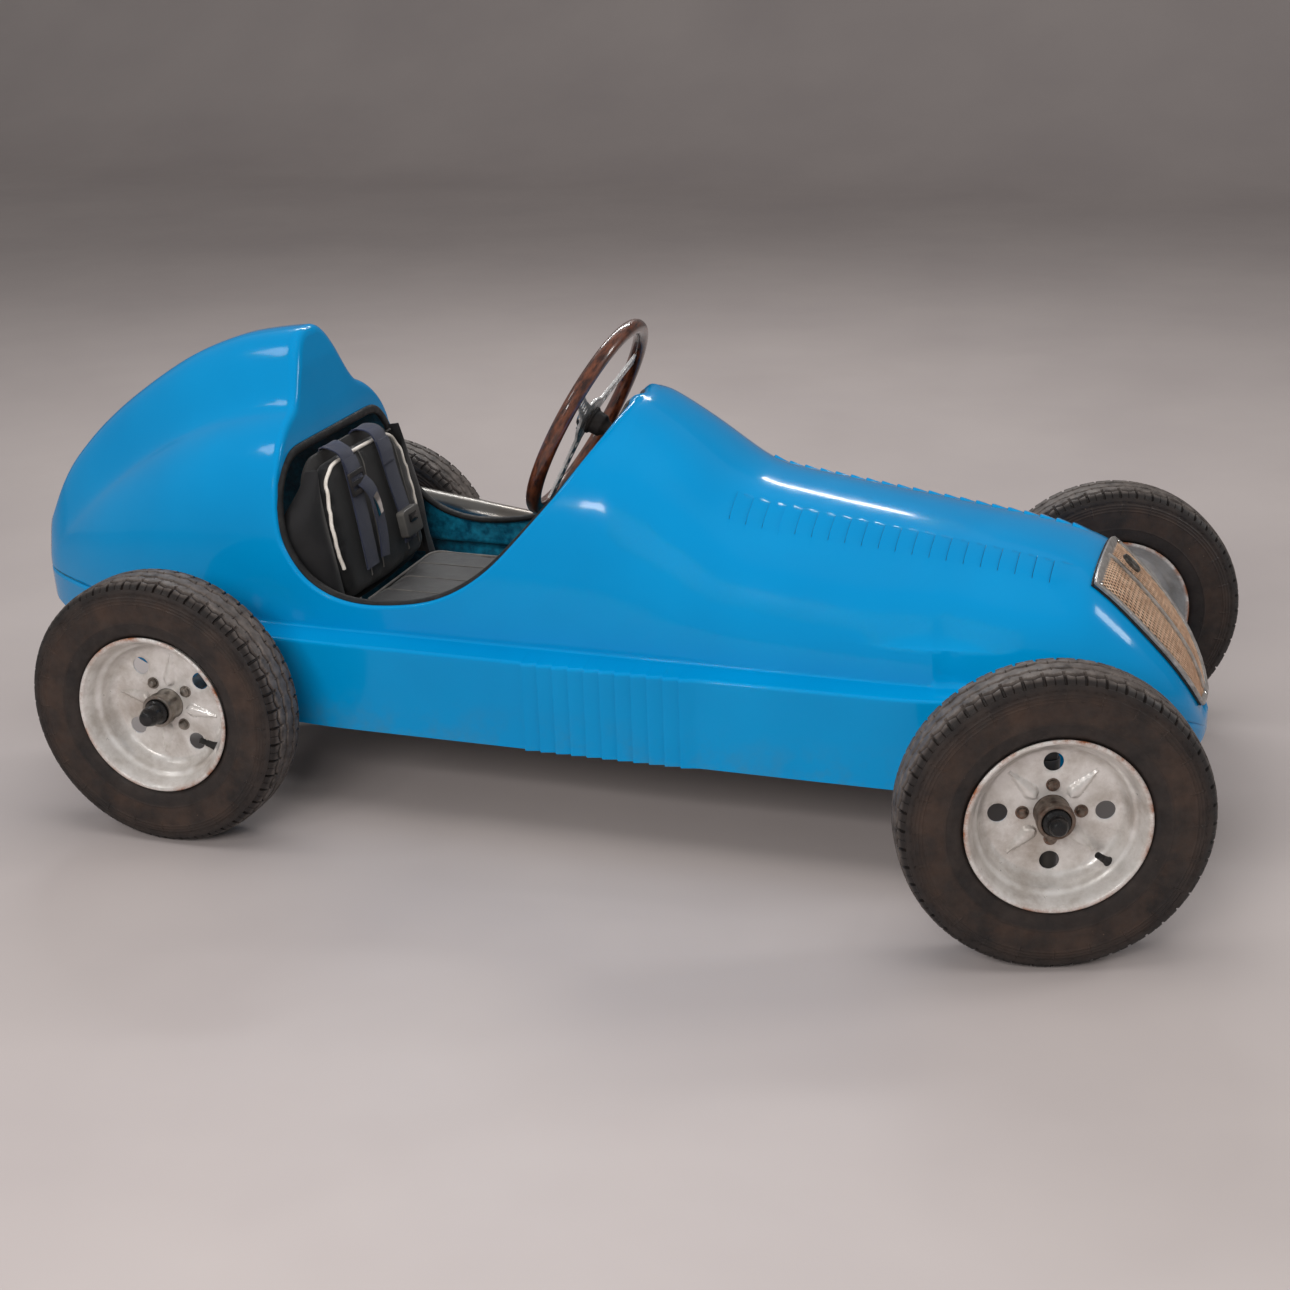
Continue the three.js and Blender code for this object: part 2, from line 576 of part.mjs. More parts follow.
function tyre() {
  const inner = RIM_RADIUS - 7 + 1.2;
  const ring = [
    ...TYRE_PROFILE.map(([r, y]) => [r * flatScale, y]),
    [inner + 4, RIM_HALF_WIDTH - 4], [inner + 4, -RIM_HALF_WIDTH + 4],
  ];
  ring.push(ring[0]);
  return turned(ring, TYRE_SEGMENTS, Math.PI / TYRE_SEGMENTS);
}

// Pressed rim: flange, stepped barrel and a disc set back from the outer flange
const DISC_Y = 8; // the disc's outer face lies this far inboard of the wheel's middle plane
const DISC_THICK = 3;
const BARREL = 104;
const VENT_CIRCLE = 64;
const BOLT_CIRCLE = 35;
const aroundHub = (radius, i) => [radius * Math.cos((i * Math.PI) / 2), radius * Math.sin((i * Math.PI) / 2)];

function rim() {
  const profile = [
    [BARREL + 1, -RIM_HALF_WIDTH - 0.5], [BARREL + 7, -RIM_HALF_WIDTH - 4], [BARREL + 4, -RIM_HALF_WIDTH - 6],
    [BARREL - 5, -RIM_HALF_WIDTH + 4], [90, DISC_Y - 8], [80, DISC_Y],
    [22, DISC_Y], [22, DISC_Y + DISC_THICK], [82, DISC_Y + DISC_THICK],
    [BARREL - 6, RIM_HALF_WIDTH - 4], [BARREL + 4, RIM_HALF_WIDTH + 6],
    [BARREL + 7, RIM_HALF_WIDTH + 4], [BARREL + 1, RIM_HALF_WIDTH + 0.5],
    [BARREL + 1, -RIM_HALF_WIDTH - 0.5],
  ];
  let body = solid(turned(profile, RIM_SEGMENTS));
  for (let i = 0; i < 4; i++) {
    const [ventX, ventZ] = aroundHub(VENT_CIRCLE, i);
    body = body.subtract(solid(rod(V3(ventX, -20, ventZ), V3(ventX, 30, ventZ), 12, 10)));
    const [boltX, boltZ] = aroundHub(BOLT_CIRCLE, i);
    body = body.subtract(solid(rod(V3(boltX, -20, boltZ), V3(boltX, 30, boltZ), 5.1, 6)));
  }
  return geometryOf(body);
}

/** Hub: a bored barrel with a flange and four bolts that carries the rim on its outer side. */
function hub(innerEnd, outerEnd, bore) {
  const pieces = [
    rod(V3(0, outerEnd, 0), V3(0, innerEnd, 0), 20, 16),
    rod(V3(0, DISC_Y + DISC_THICK + GAP, 0), V3(0, DISC_Y + 9, 0), 46, 16),
  ];
  for (let i = 0; i < 4; i++) {
    const [x, z] = aroundHub(BOLT_CIRCLE, i);
    pieces.push(rod(V3(x, DISC_Y + 6, z), V3(x, DISC_Y - 9, z), 4.5, 6));
  }
  const drill = rod(V3(0, outerEnd - 5, 0), V3(0, innerEnd + 5, 0), bore, 12);
  return geometryOf(solid(join(...pieces)).subtract(solid(drill)));
}

const HUB_END = -24;
/** Domed cap on a skirt that closes the hub's outer end; the rear ones are longer. */
function hubCap(live) {
  const [length, radius] = live ? [26, 14] : [15, 13];
  const skirt = HUB_END - 5;
  const dome = skirt - 2;
  return turned([
    [0, HUB_END - GAP], [19, HUB_END - GAP], [19, skirt], [radius, dome], [radius, dome - length * 0.5],
    [radius * 0.7, dome - length * 0.85], [0, dome - length],
  ], 16);
}

const wheels = [
  { label: "front_left", parent: front.left, side: 1, y: KINGPIN_OFFSET, spin: 0.4, live: false },
  { label: "front_right", parent: front.right, side: -1, y: -KINGPIN_OFFSET, spin: 0, live: false },
  { label: "rear_left", parent: car, side: 1, x: REAR_X, y: REAR_WHEEL_Y, spin: 1.0, live: true },
  { label: "rear_right", parent: car, side: -1, x: REAR_X, y: -REAR_WHEEL_Y, spin: 0.94, live: true },
];
const RIM = rim();
for (const wheel of wheels) {
  const place = new THREE.Group();
  place.position.set(wheel.x ?? 0, wheel.y, TYRE_RADIUS);
  place.rotation.z = wheel.side > 0 ? Math.PI : 0;
  wheel.parent.add(place);
  const spin = new THREE.Group();
  spin.rotation.y = wheel.spin;
  place.add(spin);
  add(`tyre_${wheel.label}`, tyre(), TYRE_RUBBER, place);
  add(`rim_${wheel.label}`, RIM, SILVER_PAINT, spin);
  const bore = wheel.live ? 10 + GAP + 0.2 : 8 + 0.6;
  const innerEnd = wheel.live ? 34 : KINGPIN_OFFSET - 16;
  add(`hub_${wheel.label}`, hub(innerEnd, HUB_END, bore), BARE_STEEL, spin);
  add(`hub_cap_${wheel.label}`, hubCap(wheel.live), BLACK_RUBBER, spin);
}

// ---------------------------------------------------------------- rear axle and drive
const AXLE_RADIUS = 10;
const CRANK_RADIUS = 7;
const axleEnd = (side) => V3(REAR_X, side * (REAR_WHEEL_Y + 20), TYRE_RADIUS);
add("rear_axle", rod(axleEnd(-1), axleEnd(1), AXLE_RADIUS), BARE_STEEL);
function bearing(x, z, y, bore, half) {
  const foot = block([x - half, y - 11, RAIL_TOP + GAP], [x + half, y + 11, z + bore + 12]);
  return cut(foot, rod(V3(x, y - 20, z), V3(x, y + 20, z), bore));
}
for (const [side, label] of [[1, "left"], [-1, "right"]]) {
  const onAxle = bearing(REAR_X, TYRE_RADIUS, side * RAIL_Y, AXLE_RADIUS + 0.5, 26);
  const onCrank = bearing(CRANK_X, CRANK_Z, side * RAIL_Y, CRANK_RADIUS + 0.5, 15);
  add(`axle_bearing_${label}`, onAxle, BLACK_STEEL);
  add(`crank_bearing_${label}`, onCrank, BLACK_STEEL);
}
function disc(x, z, radius, bore, width, windows, windowRadius) {
  const holes = [polygon(x, z, bore, 16)];
  for (let i = 0; i < windows; i++) {
    const angle = (2 * Math.PI * i) / windows;
    const out = radius * 0.58;
    holes.push(polygon(x + out * Math.cos(angle), z + out * Math.sin(angle), windowRadius, 8));
  }
  return sidePlate(polygon(x, z, radius, 32), CHAIN_Y - width / 2, CHAIN_Y + width / 2, holes);
}
add("rear_sprocket", disc(REAR_X, TYRE_RADIUS, SPROCKET_RADIUS, AXLE_RADIUS + 0.5, 4, 4, 6), BARE_STEEL);
add("chainring", disc(CRANK_X, CRANK_Z, CHAINRING_RADIUS, CRANK_RADIUS + 0.5, 4, 5, 11), BARE_STEEL);

/** Side-view loop that wraps both sprockets at a distance from their rims. */
function chainLoop(extra) {
  const span = Math.hypot(CRANK_X - REAR_X, CRANK_Z - TYRE_RADIUS);
  const slope = Math.atan2(CRANK_Z - TYRE_RADIUS, CRANK_X - REAR_X);
  const lean = Math.asin((CHAINRING_RADIUS - SPROCKET_RADIUS) / span);
  const points = [];
  const arc = (x, z, radius, from, to, steps) => {
    for (let i = 0; i <= steps; i++) {
      const angle = slope + from + ((to - from) * i) / steps;
      points.push([x + radius * Math.cos(angle), z + radius * Math.sin(angle)]);
    }
  };
  const quarter = Math.PI / 2 + lean;
  arc(CRANK_X, CRANK_Z, CHAINRING_RADIUS + extra, -quarter, quarter, 16);
  arc(REAR_X, TYRE_RADIUS, SPROCKET_RADIUS + extra, quarter, 2 * Math.PI - quarter, 14);
  return points;
}
const chainSides = [CHAIN_Y - CHAIN_WIDTH / 2, CHAIN_Y + CHAIN_WIDTH / 2];
add("drive_chain", sidePlate(chainLoop(1 + CHAIN_THICK), ...chainSides, [chainLoop(1)]), BARE_STEEL);

/** Crankshaft with two throws, the right one up at the start. */
function crankshaft() {
  const shaft = (y0, y1, x = 0, z = 0, radius = CRANK_RADIUS) => rod(V3(x, y0, z), V3(x, y1, z), radius, 12);
  const web = (y, up) => {
    const [zLow, zHigh] = up > 0 ? [-9, CRANK_ARM + 9] : [-CRANK_ARM - 9, 9];
    return block([-9, y - 4, zLow], [9, y + 4, zHigh]);
  };
  return join(
    shaft(-178, -116), shaft(116, 156), shaft(-28, 28),
    web(-120, 1), web(-24, 1), web(120, -1), web(24, -1),
    shaft(-120, -24, 0, CRANK_ARM, 6), shaft(24, 120, 0, -CRANK_ARM, 6),
  );
}
const CRANK_REST = THREE.MathUtils.degToRad(35);
const crankGroup = new THREE.Group();
crankGroup.position.set(CRANK_X, 0, CRANK_Z);
crankGroup.rotation.y = CRANK_REST;
car.add(crankGroup);
add("crankshaft", crankshaft(), BARE_STEEL, crankGroup);
for (const [side, label] of [[1, "left"], [-1, "right"]]) {
  const throwZ = side > 0 ? -CRANK_ARM : CRANK_ARM;
  const pedal = new THREE.Group();
  pedal.position.set(0, side * 72, throwZ);
  pedal.rotation.y = -CRANK_REST;
  crankGroup.add(pedal);
  const pad = block([-34, -42, -9], [34, 42, 9]);
  add(`pedal_${label}`, cut(pad, rod(V3(0, -60, 0), V3(0, 60, 0), 6.6, 12)), BLACK_RUBBER, pedal);
}

// ---------------------------------------------------------------- seat and harness
const SEAT_HALF = 152;
const SEAT_Z = 238;
const seatOutline = [
  [-185, SEAT_Z], [-185, SEAT_Z + 6], [-432, SEAT_Z + 6], [-478, 478], [-485, 478], [-441, SEAT_Z],
];
add("seat_shell", sidePlate(seatOutline, -SEAT_HALF, SEAT_HALF), VINYL);
for (const [place, x] of [["front", -215], ["rear", -400]]) {
  const bar = block([x - 10, -RAIL_Y - 10, SEAT_Z - 18], [x + 10, RAIL_Y + 10, SEAT_Z - GAP]);
  const post = (y) => block([x - 10, y - 10, RAIL_TOP + GAP], [x + 10, y + 10, SEAT_Z - 10]);
  const posts = [post(-RAIL_Y), post(RAIL_Y)];
  add(`seat_trestle_${place}`, join(bar, ...posts), BLACK_STEEL);
}
function softBlock(length, width, thick, corner) {
  const shape = new THREE.Shape();
  const [a, b] = [length / 2, width / 2];
  shape.moveTo(-a + corner, -b);
  shape.lineTo(a - corner, -b).quadraticCurveTo(a, -b, a, -b + corner);
  shape.lineTo(a, b - corner).quadraticCurveTo(a, b, a - corner, b);
  shape.lineTo(-a + corner, b).quadraticCurveTo(-a, b, -a, b - corner);
  shape.lineTo(-a, -b + corner).quadraticCurveTo(-a, -b, -a + corner, -b);
  return new THREE.ExtrudeGeometry(shape, { depth: thick, bevelEnabled: false, curveSegments: 4 });
}
const CUSHION_THICK = 36;
const cushionPad = softBlock(222, 300, CUSHION_THICK, 40).translate(-305, 0, SEAT_Z + 6 + GAP);
add("seat_cushion", cushionPad, VINYL);
const BACK_LEAN = Math.atan2(48, 244);
const BACK_THICK = 30;
const backFoot = V3(-432, 0, SEAT_Z + 6);
const alongBack = V3(-Math.sin(BACK_LEAN), 0, Math.cos(BACK_LEAN));
const offBack = V3(Math.cos(BACK_LEAN), 0, Math.sin(BACK_LEAN));
/** Slab lying on the backrest: [from, to] up the back, [from, to] across, [from, to] off its face. */
function onBack([upLow, upHigh], across, [offLow, offHigh]) {
  const corner = (up, y, off) => {
    const point = backFoot.clone().addScaledVector(alongBack, up);
    return point.addScaledVector(offBack, off).setY(y);
  };
  const outline = [[upLow, offLow], [upHigh, offLow], [upHigh, offHigh], [upLow, offHigh]];
  return lofted(across.map((y) => outline.map(([up, off]) => corner(up, y, off))));
}
add("seat_back_pad", onBack([44, 234], [-136, 136], [GAP + 0.2, BACK_THICK]), VINYL);
const STRAP_OFF = [BACK_THICK + GAP, BACK_THICK + 5];
for (const [side, label] of [[1, "left"], [-1, "right"]]) {
  const mid = side * 52;
  add(`harness_strap_${label}`, onBack([62, 232], [mid - 20, mid + 20], STRAP_OFF), WEBBING);
}
add("harness_buckle", onBack([92, 128], [-26, 26], [STRAP_OFF[0], STRAP_OFF[1] + 4]), BLACK_STEEL);

// ---------------------------------------------------------------- exhaust, on the left side
const PIPE_RADIUS = 22;
const pipePath = new THREE.CatmullRomCurve3([
  V3(232, 262, 206), V3(190, 288, 209), V3(130, 294, 218), V3(-80, 293, 250), V3(-200, 284, 266),
  V3(-300, 274, 280), V3(-480, 270, 306), V3(-620, 270, 328), V3(-770, 270, 352),
], false, "centripetal");
function nearestOnPipe(x) {
  const points = pipePath.getSpacedPoints(200);
  return points.reduce((best, p) => (Math.abs(p.x - x) < Math.abs(best.x - x) ? p : best));
}
function exhaustPipe() {
  const outer = solid(tube(pipePath, PIPE_RADIUS, 24, 10));
  const to = pipePath.getPointAt(1).clone().add(V3(-20, 0, 3));
  const mouth = solid(rod(pipePath.getPointAt(0.93), to, PIPE_RADIUS - 2.5, 10));
  return geometryOf(outer.subtract(mouth).subtract(solid(bodyLoft(0.4))));
}
add("exhaust_pipe", exhaustPipe(), PIPE_METAL);
for (const [i, x] of [-60, -470].entries()) {
  const at = nearestOnPipe(x);
  const plate = block([x - 12, 236, at.z - 14], [x + 12, at.y, at.z - 4]);
  const bracket = solid(plate)
    .subtract(solid(bodyLoft(0.4)))
    .subtract(solid(tube(pipePath, PIPE_RADIUS + 0.4, 24, 10)));
  const largest = bracket.decompose().sort((a, b) => b.volume() - a.volume())[0];
  add(`exhaust_bracket_${i + 1}`, geometryOf(largest), BLACK_STEEL);
}

// ---------------------------------------------------------------- whole car
const root = new THREE.Group();
car.position.x = ORIGIN_SHIFT;
root.add(car);
export default root;
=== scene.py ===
"""Looks of a child's pedal racing car, built around its CAD model.

Shapes are worked out in millimetres from the car's own datum: the floor under the middle of the
wheelbase, +X forward, +Y to the car's left, +Z up. placed() turns them into metres in the row frame.
"""
import json
import math

import bmesh
import bpy
import numpy as np
from mathutils import Matrix, Vector
from mathutils.bvhtree import BVHTree


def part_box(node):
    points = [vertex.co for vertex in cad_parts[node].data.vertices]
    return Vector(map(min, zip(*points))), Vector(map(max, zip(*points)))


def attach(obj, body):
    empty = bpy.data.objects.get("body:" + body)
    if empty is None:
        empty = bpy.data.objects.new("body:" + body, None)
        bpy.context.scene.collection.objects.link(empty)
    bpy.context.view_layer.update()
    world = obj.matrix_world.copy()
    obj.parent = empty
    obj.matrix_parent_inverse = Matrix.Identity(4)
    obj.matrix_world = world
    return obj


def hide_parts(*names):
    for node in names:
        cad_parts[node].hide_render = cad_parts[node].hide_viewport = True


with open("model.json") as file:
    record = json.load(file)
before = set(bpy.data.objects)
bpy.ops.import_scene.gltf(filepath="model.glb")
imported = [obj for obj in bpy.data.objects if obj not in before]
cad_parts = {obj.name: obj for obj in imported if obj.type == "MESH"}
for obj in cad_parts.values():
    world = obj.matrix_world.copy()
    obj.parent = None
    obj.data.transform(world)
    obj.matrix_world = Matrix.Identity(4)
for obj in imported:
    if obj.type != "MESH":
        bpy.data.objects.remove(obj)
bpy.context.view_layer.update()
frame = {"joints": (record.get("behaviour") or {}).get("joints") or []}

MM = 0.001
joints = {joint["name"]: joint for joint in frame["joints"]}


def middle(node):
    low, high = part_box(node)
    return (low + high) / 2


DATUM_X = (middle("front_axle").x + middle("rear_axle").x) / 2
FRONT_X = (middle("front_axle").x - DATUM_X) / MM
REAR_X = -FRONT_X


def placed(points):
    """Millimetres from the datum to metres in the row frame."""
    points = np.asarray(points, float) * MM
    points[..., 0] += DATUM_X
    return points


# ---------------------------------------------------------------- camera and stage
LENS = 58.89
CAMERA_PLACE = (891.4, -2666.8, 1259.3)
CAMERA_YAW, CAMERA_PITCH, CAMERA_ROLL = -0.33085, 0.35812, -0.02467


def add_camera():
    ahead = Vector((
        math.sin(CAMERA_YAW) * math.cos(CAMERA_PITCH),
        math.cos(CAMERA_YAW) * math.cos(CAMERA_PITCH),
        -math.sin(CAMERA_PITCH),
    ))
    right = ahead.cross(Vector((0, 0, 1))).normalized()
    up = right.cross(ahead)
    tilted_right = right * math.cos(CAMERA_ROLL) + up * math.sin(CAMERA_ROLL)
    tilted_up = up * math.cos(CAMERA_ROLL) - right * math.sin(CAMERA_ROLL)
    data = bpy.data.cameras.new("camera")
    data.lens = LENS
    data.sensor_width = 36
    data.clip_end = 50
    camera = bpy.data.objects.new("camera", data)
    turn = Matrix((tilted_right, tilted_up, -ahead)).transposed()
    camera.matrix_world = Matrix.Translation(placed(CAMERA_PLACE)) @ turn.to_4x4()
    bpy.context.scene.collection.objects.link(camera)
    bpy.context.scene.camera = camera


add_camera()


# ---------------------------------------------------------------- node materials
class Shade:
    """A material under construction: its nodes, its links and its main shader."""

    def __init__(self, name, **settings):
        self.material = bpy.data.materials.new(name)
        self.material.use_nodes = True
        self.tree = self.material.node_tree
        self.nodes = self.tree.nodes
        self.shader = self.nodes["Principled BSDF"]
        for key, value in settings.items():
            self.shader.inputs[key.replace("_", " ")].default_value = value
        self.place = self.nodes.new("ShaderNodeTexCoord").outputs["Object"]
        self.height = None

    def link(self, source, target):
        self.tree.links.new(source, target)

    def feed(self, node, values):
        for key, value in values.items():
            socket = node.inputs[key]
            if isinstance(value, bpy.types.NodeSocket):
                self.link(value, socket)
            else:
                socket.default_value = value
        return node

    def stretch(self, scale=(1, 1, 1), turn=(0, 0, 0)):
        node = self.nodes.new("ShaderNodeMapping")
        self.feed(node, {"Vector": self.place, "Scale": scale, "Rotation": turn})
        return node.outputs["Vector"]

    def noise(self, scale, detail=4, rough=0.55, where=None):
        node = self.nodes.new("ShaderNodeTexNoise")
        self.feed(node, {"Vector": where or self.place, "Scale": scale, "Detail": detail, "Roughness": rough})
        return node.outputs["Fac"]

    def cells(self, scale, feature="F1"):
        node = self.nodes.new("ShaderNodeTexVoronoi")
        node.feature = feature
        self.feed(node, {"Vector": self.place, "Scale": scale})
        return node.outputs["Distance"]

    def wave(self, scale, direction, where=None, distortion=0.0):
        node = self.nodes.new("ShaderNodeTexWave")
        node.bands_direction = direction
        self.feed(node, {"Vector": where or self.place, "Scale": scale, "Distortion": distortion})
        return node.outputs["Fac"]

    def band(self, source, low, high, out_low=0.0, out_high=1.0):
        """Remaps a value from one range to another, held at the ends."""
        node = self.nodes.new("ShaderNodeMapRange")
        self.feed(node, {0: source, 1: low, 2: high, 3: out_low, 4: out_high})
        return node.outputs[0]

    def math(self, operation, first, second=0.0):
        node = self.nodes.new("ShaderNodeMath")
        node.operation = operation
        self.feed(node, {0: first, 1: second})
        return node.outputs[0]

    def times(self, first, second):
        return self.math("MULTIPLY", first, second)

    def from_axis(self, first, second):
        """Distance from an axis, from the two coordinates across it."""
        squares = self.math("ADD", self.times(first, first), self.times(second, second))
        return self.math("SQRT", squares)

    def mix(self, share, first, second):
        """Mixes two colours, or a colour with what has been mixed before."""
        node = self.nodes.new("ShaderNodeMix")
        node.data_type = "RGBA"
        self.feed(node, {0: share, 6: first, 7: second})
        return node.outputs[2]

    def parts(self):
        """The x, y and z of the place."""
        node = self.nodes.new("ShaderNodeSeparateXYZ")
        self.link(self.place, node.inputs[0])
        return node.outputs

    def edges(self, low, high):
        """Worn convex edges, from the mesh's own curvature."""
        node = self.nodes.new("ShaderNodeNewGeometry")
        return self.band(node.outputs["Pointiness"], low, high)

    def colour(self, source):
        self.link(source, self.shader.inputs["Base Color"])

    def roughness(self, source):
        self.link(source, self.shader.inputs["Roughness"])

    def bump(self, source, distance, strength=1.0):
        """Adds a layer of relief; distance is its depth in metres."""
        node = self.nodes.new("ShaderNodeBump")
        self.feed(node, {"Height": source, "Distance": distance, "Strength": strength})
        if self.height is not None:
            self.link(self.height, node.inputs["Normal"])
        self.height = node.outputs["Normal"]
        self.link(self.height, self.shader.inputs["Normal"])


def rgb(red, green, blue):
    """An sRGB colour in 0 to 255 as the linear colour that a shader takes."""
    linear = [c / 255 / 12.92 if c <= 10 else ((c / 255 + 0.055) / 1.055) ** 2.4 for c in (red, green, blue)]
    return (*linear, 1.0)


def paint_material():
    s = Shade("body_paint", Specular_IOR_Level=0.1, Coat_Weight=0.24, Coat_Roughness=0.06, Coat_IOR=1.45)
    cloud = s.noise(3.0, 3)
    colour = s.mix(s.band(cloud, 0.35, 0.65), rgb(0, 126, 182), rgb(0, 134, 191))
    specks = s.band(s.cells(420), 0.0, 0.09, 1.0, 0.0)
    rare = s.band(s.noise(26, 2), 0.62, 0.7)
    colour = s.mix(s.times(specks, rare), colour, rgb(4, 88, 120))
    scratch_place = s.stretch((3.0, 3.0, 60.0), (0.3, 0.1, 0.2))
    scratch = s.times(s.band(s.noise(9, 2, 0.5, scratch_place), 0.72, 0.76), rare)
    colour = s.mix(s.times(scratch, 0.5), colour, rgb(30, 150, 196))
    up = s.parts()[2]
    dust = s.times(s.band(up, 0.135, 0.2, 0.5, 0.0), s.band(s.noise(18, 6, 0.7), 0.45, 0.75))
    colour = s.mix(dust, colour, rgb(70, 110, 124))
    s.colour(colour)
    s.roughness(s.band(s.math("ADD", s.noise(34, 5), dust), 0.3, 1.2, 0.12, 0.3))
    s.bump(s.noise(260, 2, 0.4), 0.00003, 0.35)
    s.bump(s.noise(9, 2), 0.0012, 0.25)
    return s.material


def lining_material():
    """Inside of the moulded shell: blue resin over chopped strand."""
    s = Shade("shell_lining", Roughness=0.5)
    strands = s.cells(150, "DISTANCE_TO_EDGE")
    blotch = s.noise(70, 5, 0.65)
    colour = s.mix(s.band(blotch, 0.35, 0.68), rgb(3, 64, 88), rgb(20, 118, 146))
    colour = s.mix(s.band(s.noise(9, 4), 0.5, 0.75, 0.0, 0.55), colour, rgb(4, 42, 58))
    s.colour(colour)
    s.roughness(s.band(blotch, 0.3, 0.7, 0.32, 0.7))
    s.bump(strands, 0.0015, 0.5)
    s.bump(blotch, 0.002, 0.6)
    return s.material


def rubber_material(name, dark, light, rough=(0.5, 0.75)):
    s = Shade(name)
    grime = s.noise(60, 5, 0.6)
    s.colour(s.mix(s.band(grime, 0.4, 0.75), dark, light))
    s.roughness(s.band(s.noise(140, 3), 0.3, 0.7, *rough))
    s.bump(s.noise(900, 3), 0.0002, 0.4)
    return s.material


def stage_material():
    s = Shade("studio_floor", Roughness=0.62)
    s.colour(s.mix(s.band(s.noise(1.4, 4), 0.3, 0.7), rgb(166, 157, 155), rgb(174, 165, 162)))
    s.roughness(s.band(s.noise(3.0, 3), 0.3, 0.7, 0.5, 0.66))
    s.bump(s.noise(700, 2), 0.0002, 0.2)
    return s.material


PAINT = paint_material()
LINING = lining_material()
# dark blue for the louvres' rear-facing steps: painted shade
LOUVRE_STEP_SHADE = rubber_material("louvre_step_painted_shade", rgb(2, 70, 104), rgb(3, 52, 78), (0.4, 0.6))
TRIM_RUBBER = rubber_material("edge_rubber", rgb(20, 20, 21), rgb(38, 37, 36))


# ---------------------------------------------------------------- meshes
def new_object(name, verts, faces, materials, smooth_angle=40.0, kinds=None):
    """Mesh object from millimetre points and faces; kinds gives each face's material index."""
    mesh = bpy.data.meshes.new(name)
    mesh.from_pydata(placed(verts).tolist(), [], [list(f) for f in faces])
    mesh.update()
    for material in materials:
        mesh.materials.append(material)
    if kinds is not None:
        mesh.polygons.foreach_set("material_index", np.asarray(kinds, np.int32))
    obj = bpy.data.objects.new(name, mesh)
    bpy.context.scene.collection.objects.link(obj)
    smoothed(obj, smooth_angle)
    return obj


def smoothed(obj, angle=40.0):
    mesh = obj.data
    mesh.polygons.foreach_set("use_smooth", [True] * len(mesh.polygons))
    mesh.set_sharp_from_angle(angle=math.radians(angle))
    return obj


def finish_piece(obj, body, slot, *nodes):
    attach(obj, body)
    if nodes:
        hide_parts(*nodes)
    return obj


def vertex_normals(verts, faces):
    """Area-weighted normals for quads given as an index array."""
    a, b, c, d = (verts[faces[:, k]] for k in range(4))
    face_normal = np.cross(c - a, d - b)
    normals = np.zeros_like(verts)
    for k in range(4):
        np.add.at(normals, faces[:, k], face_normal)
    length = np.linalg.norm(normals, axis=1, keepdims=True)
    return normals / np.maximum(length, 1e-9)


def ease(value, low, high):
    """Smooth step from 0 at low to 1 at high."""
    t = np.clip((np.asarray(value, float) - low) / (high - low), 0, 1)
    return t * t * (3 - 2 * t)


# ---------------------------------------------------------------- body: driving sections
# Cross-sections from tail to nose. Each row: x, bottom z, bottom half-width, sill half-width, sill top z,
# flank half-width, flank foot z, top z without the fairing, roundness, fairing height, fairing half-width.
SECTIONS = np.array([
    [-991.6, 228, 0.02, 0.02, 262, 0.02, 266, 286, 2.2, 8, 2],
    [-991, 225, 3, 3, 262, 3, 266, 288, 2.2, 8, 3],
    [-988, 208, 14, 16, 254, 16, 258, 296, 2.2, 26, 14],
    [-977, 203, 28, 32, 252, 32, 256, 300, 2.2, 38, 27],
    [-955, 199, 46, 51, 252, 51, 256, 324, 2.2, 58, 40],
    [-930, 195, 64, 69, 252, 68, 256, 350, 2.2, 70, 50],
    [-880, 187, 94, 100, 253, 98, 258, 392, 2.3, 80, 61],
    [-827, 178, 122, 130, 254, 126, 260, 430, 2.4, 86, 69],
    [-760, 167, 154, 164, 256, 155, 262, 473, 2.5, 89, 77],
    [-700, 157, 178, 190, 258, 177, 264, 506, 2.6, 92, 84],
    [-620, 146, 206, 220, 260, 197, 266, 536, 2.8, 93, 91],
    [-533, 138, 232, 242, 262, 208, 267, 553, 3, 90, 95],
    [-480, 136, 242, 249, 262, 211, 267, 556, 3, 88, 96],
    [-400, 135, 246, 250, 262, 213, 267, 558, 2.9, 70, 96],
    [-250, 135, 246, 250, 262, 213, 267, 562, 2.7, 20, 96],
    [-120, 135, 246, 250, 262, 213, 267, 572, 2.5, 4, 96],
    [-20, 135, 246, 250, 262, 213, 267, 580, 2.37, 0, 96],
    [0, 135, 246, 250, 262, 213, 267, 575, 2.35, 0, 96],
    [62, 135, 246, 250, 262, 213, 267, 538, 2.3, 0, 96],
    [146, 135, 246, 250, 262, 213, 267, 477, 2.25, 0, 96],
    [272, 135, 246, 250, 262, 213, 267, 457, 2.25, 0, 96],
    [408, 135, 245, 249, 262, 213, 267, 437, 2.25, 0, 96],
    [470, 135, 234, 238, 262, 208, 267, 427, 2.3, 0, 96],
    [540, 135, 211, 215, 259, 200, 264, 416, 2.4, 0, 96],
    [603, 137, 182, 187, 252, 184, 256, 399, 2.6, 0, 96],
    [636, 139, 163, 168, 243, 167, 247, 370, 2.8, 0, 96],
    [677, 142, 139, 144, 230, 143, 234, 327, 3, 0, 96],
    [714, 146, 107, 112, 213, 111, 217, 281, 3.1, 0, 96],
    [737, 149, 76, 80, 199, 79, 203, 239, 3, 0, 96],
    [748, 152, 49, 52, 186, 51, 189, 203, 2.8, 0, 96],
    [753, 155, 32, 35, 177, 34, 180, 189, 2.5, 0, 96],
    [757, 162, 5, 6, 167, 5, 169, 172, 2.2, 0, 96],
    [757.5, 163, 0.02, 0.02, 166, 0.02, 168, 171, 2.2, 0, 96],
], float)
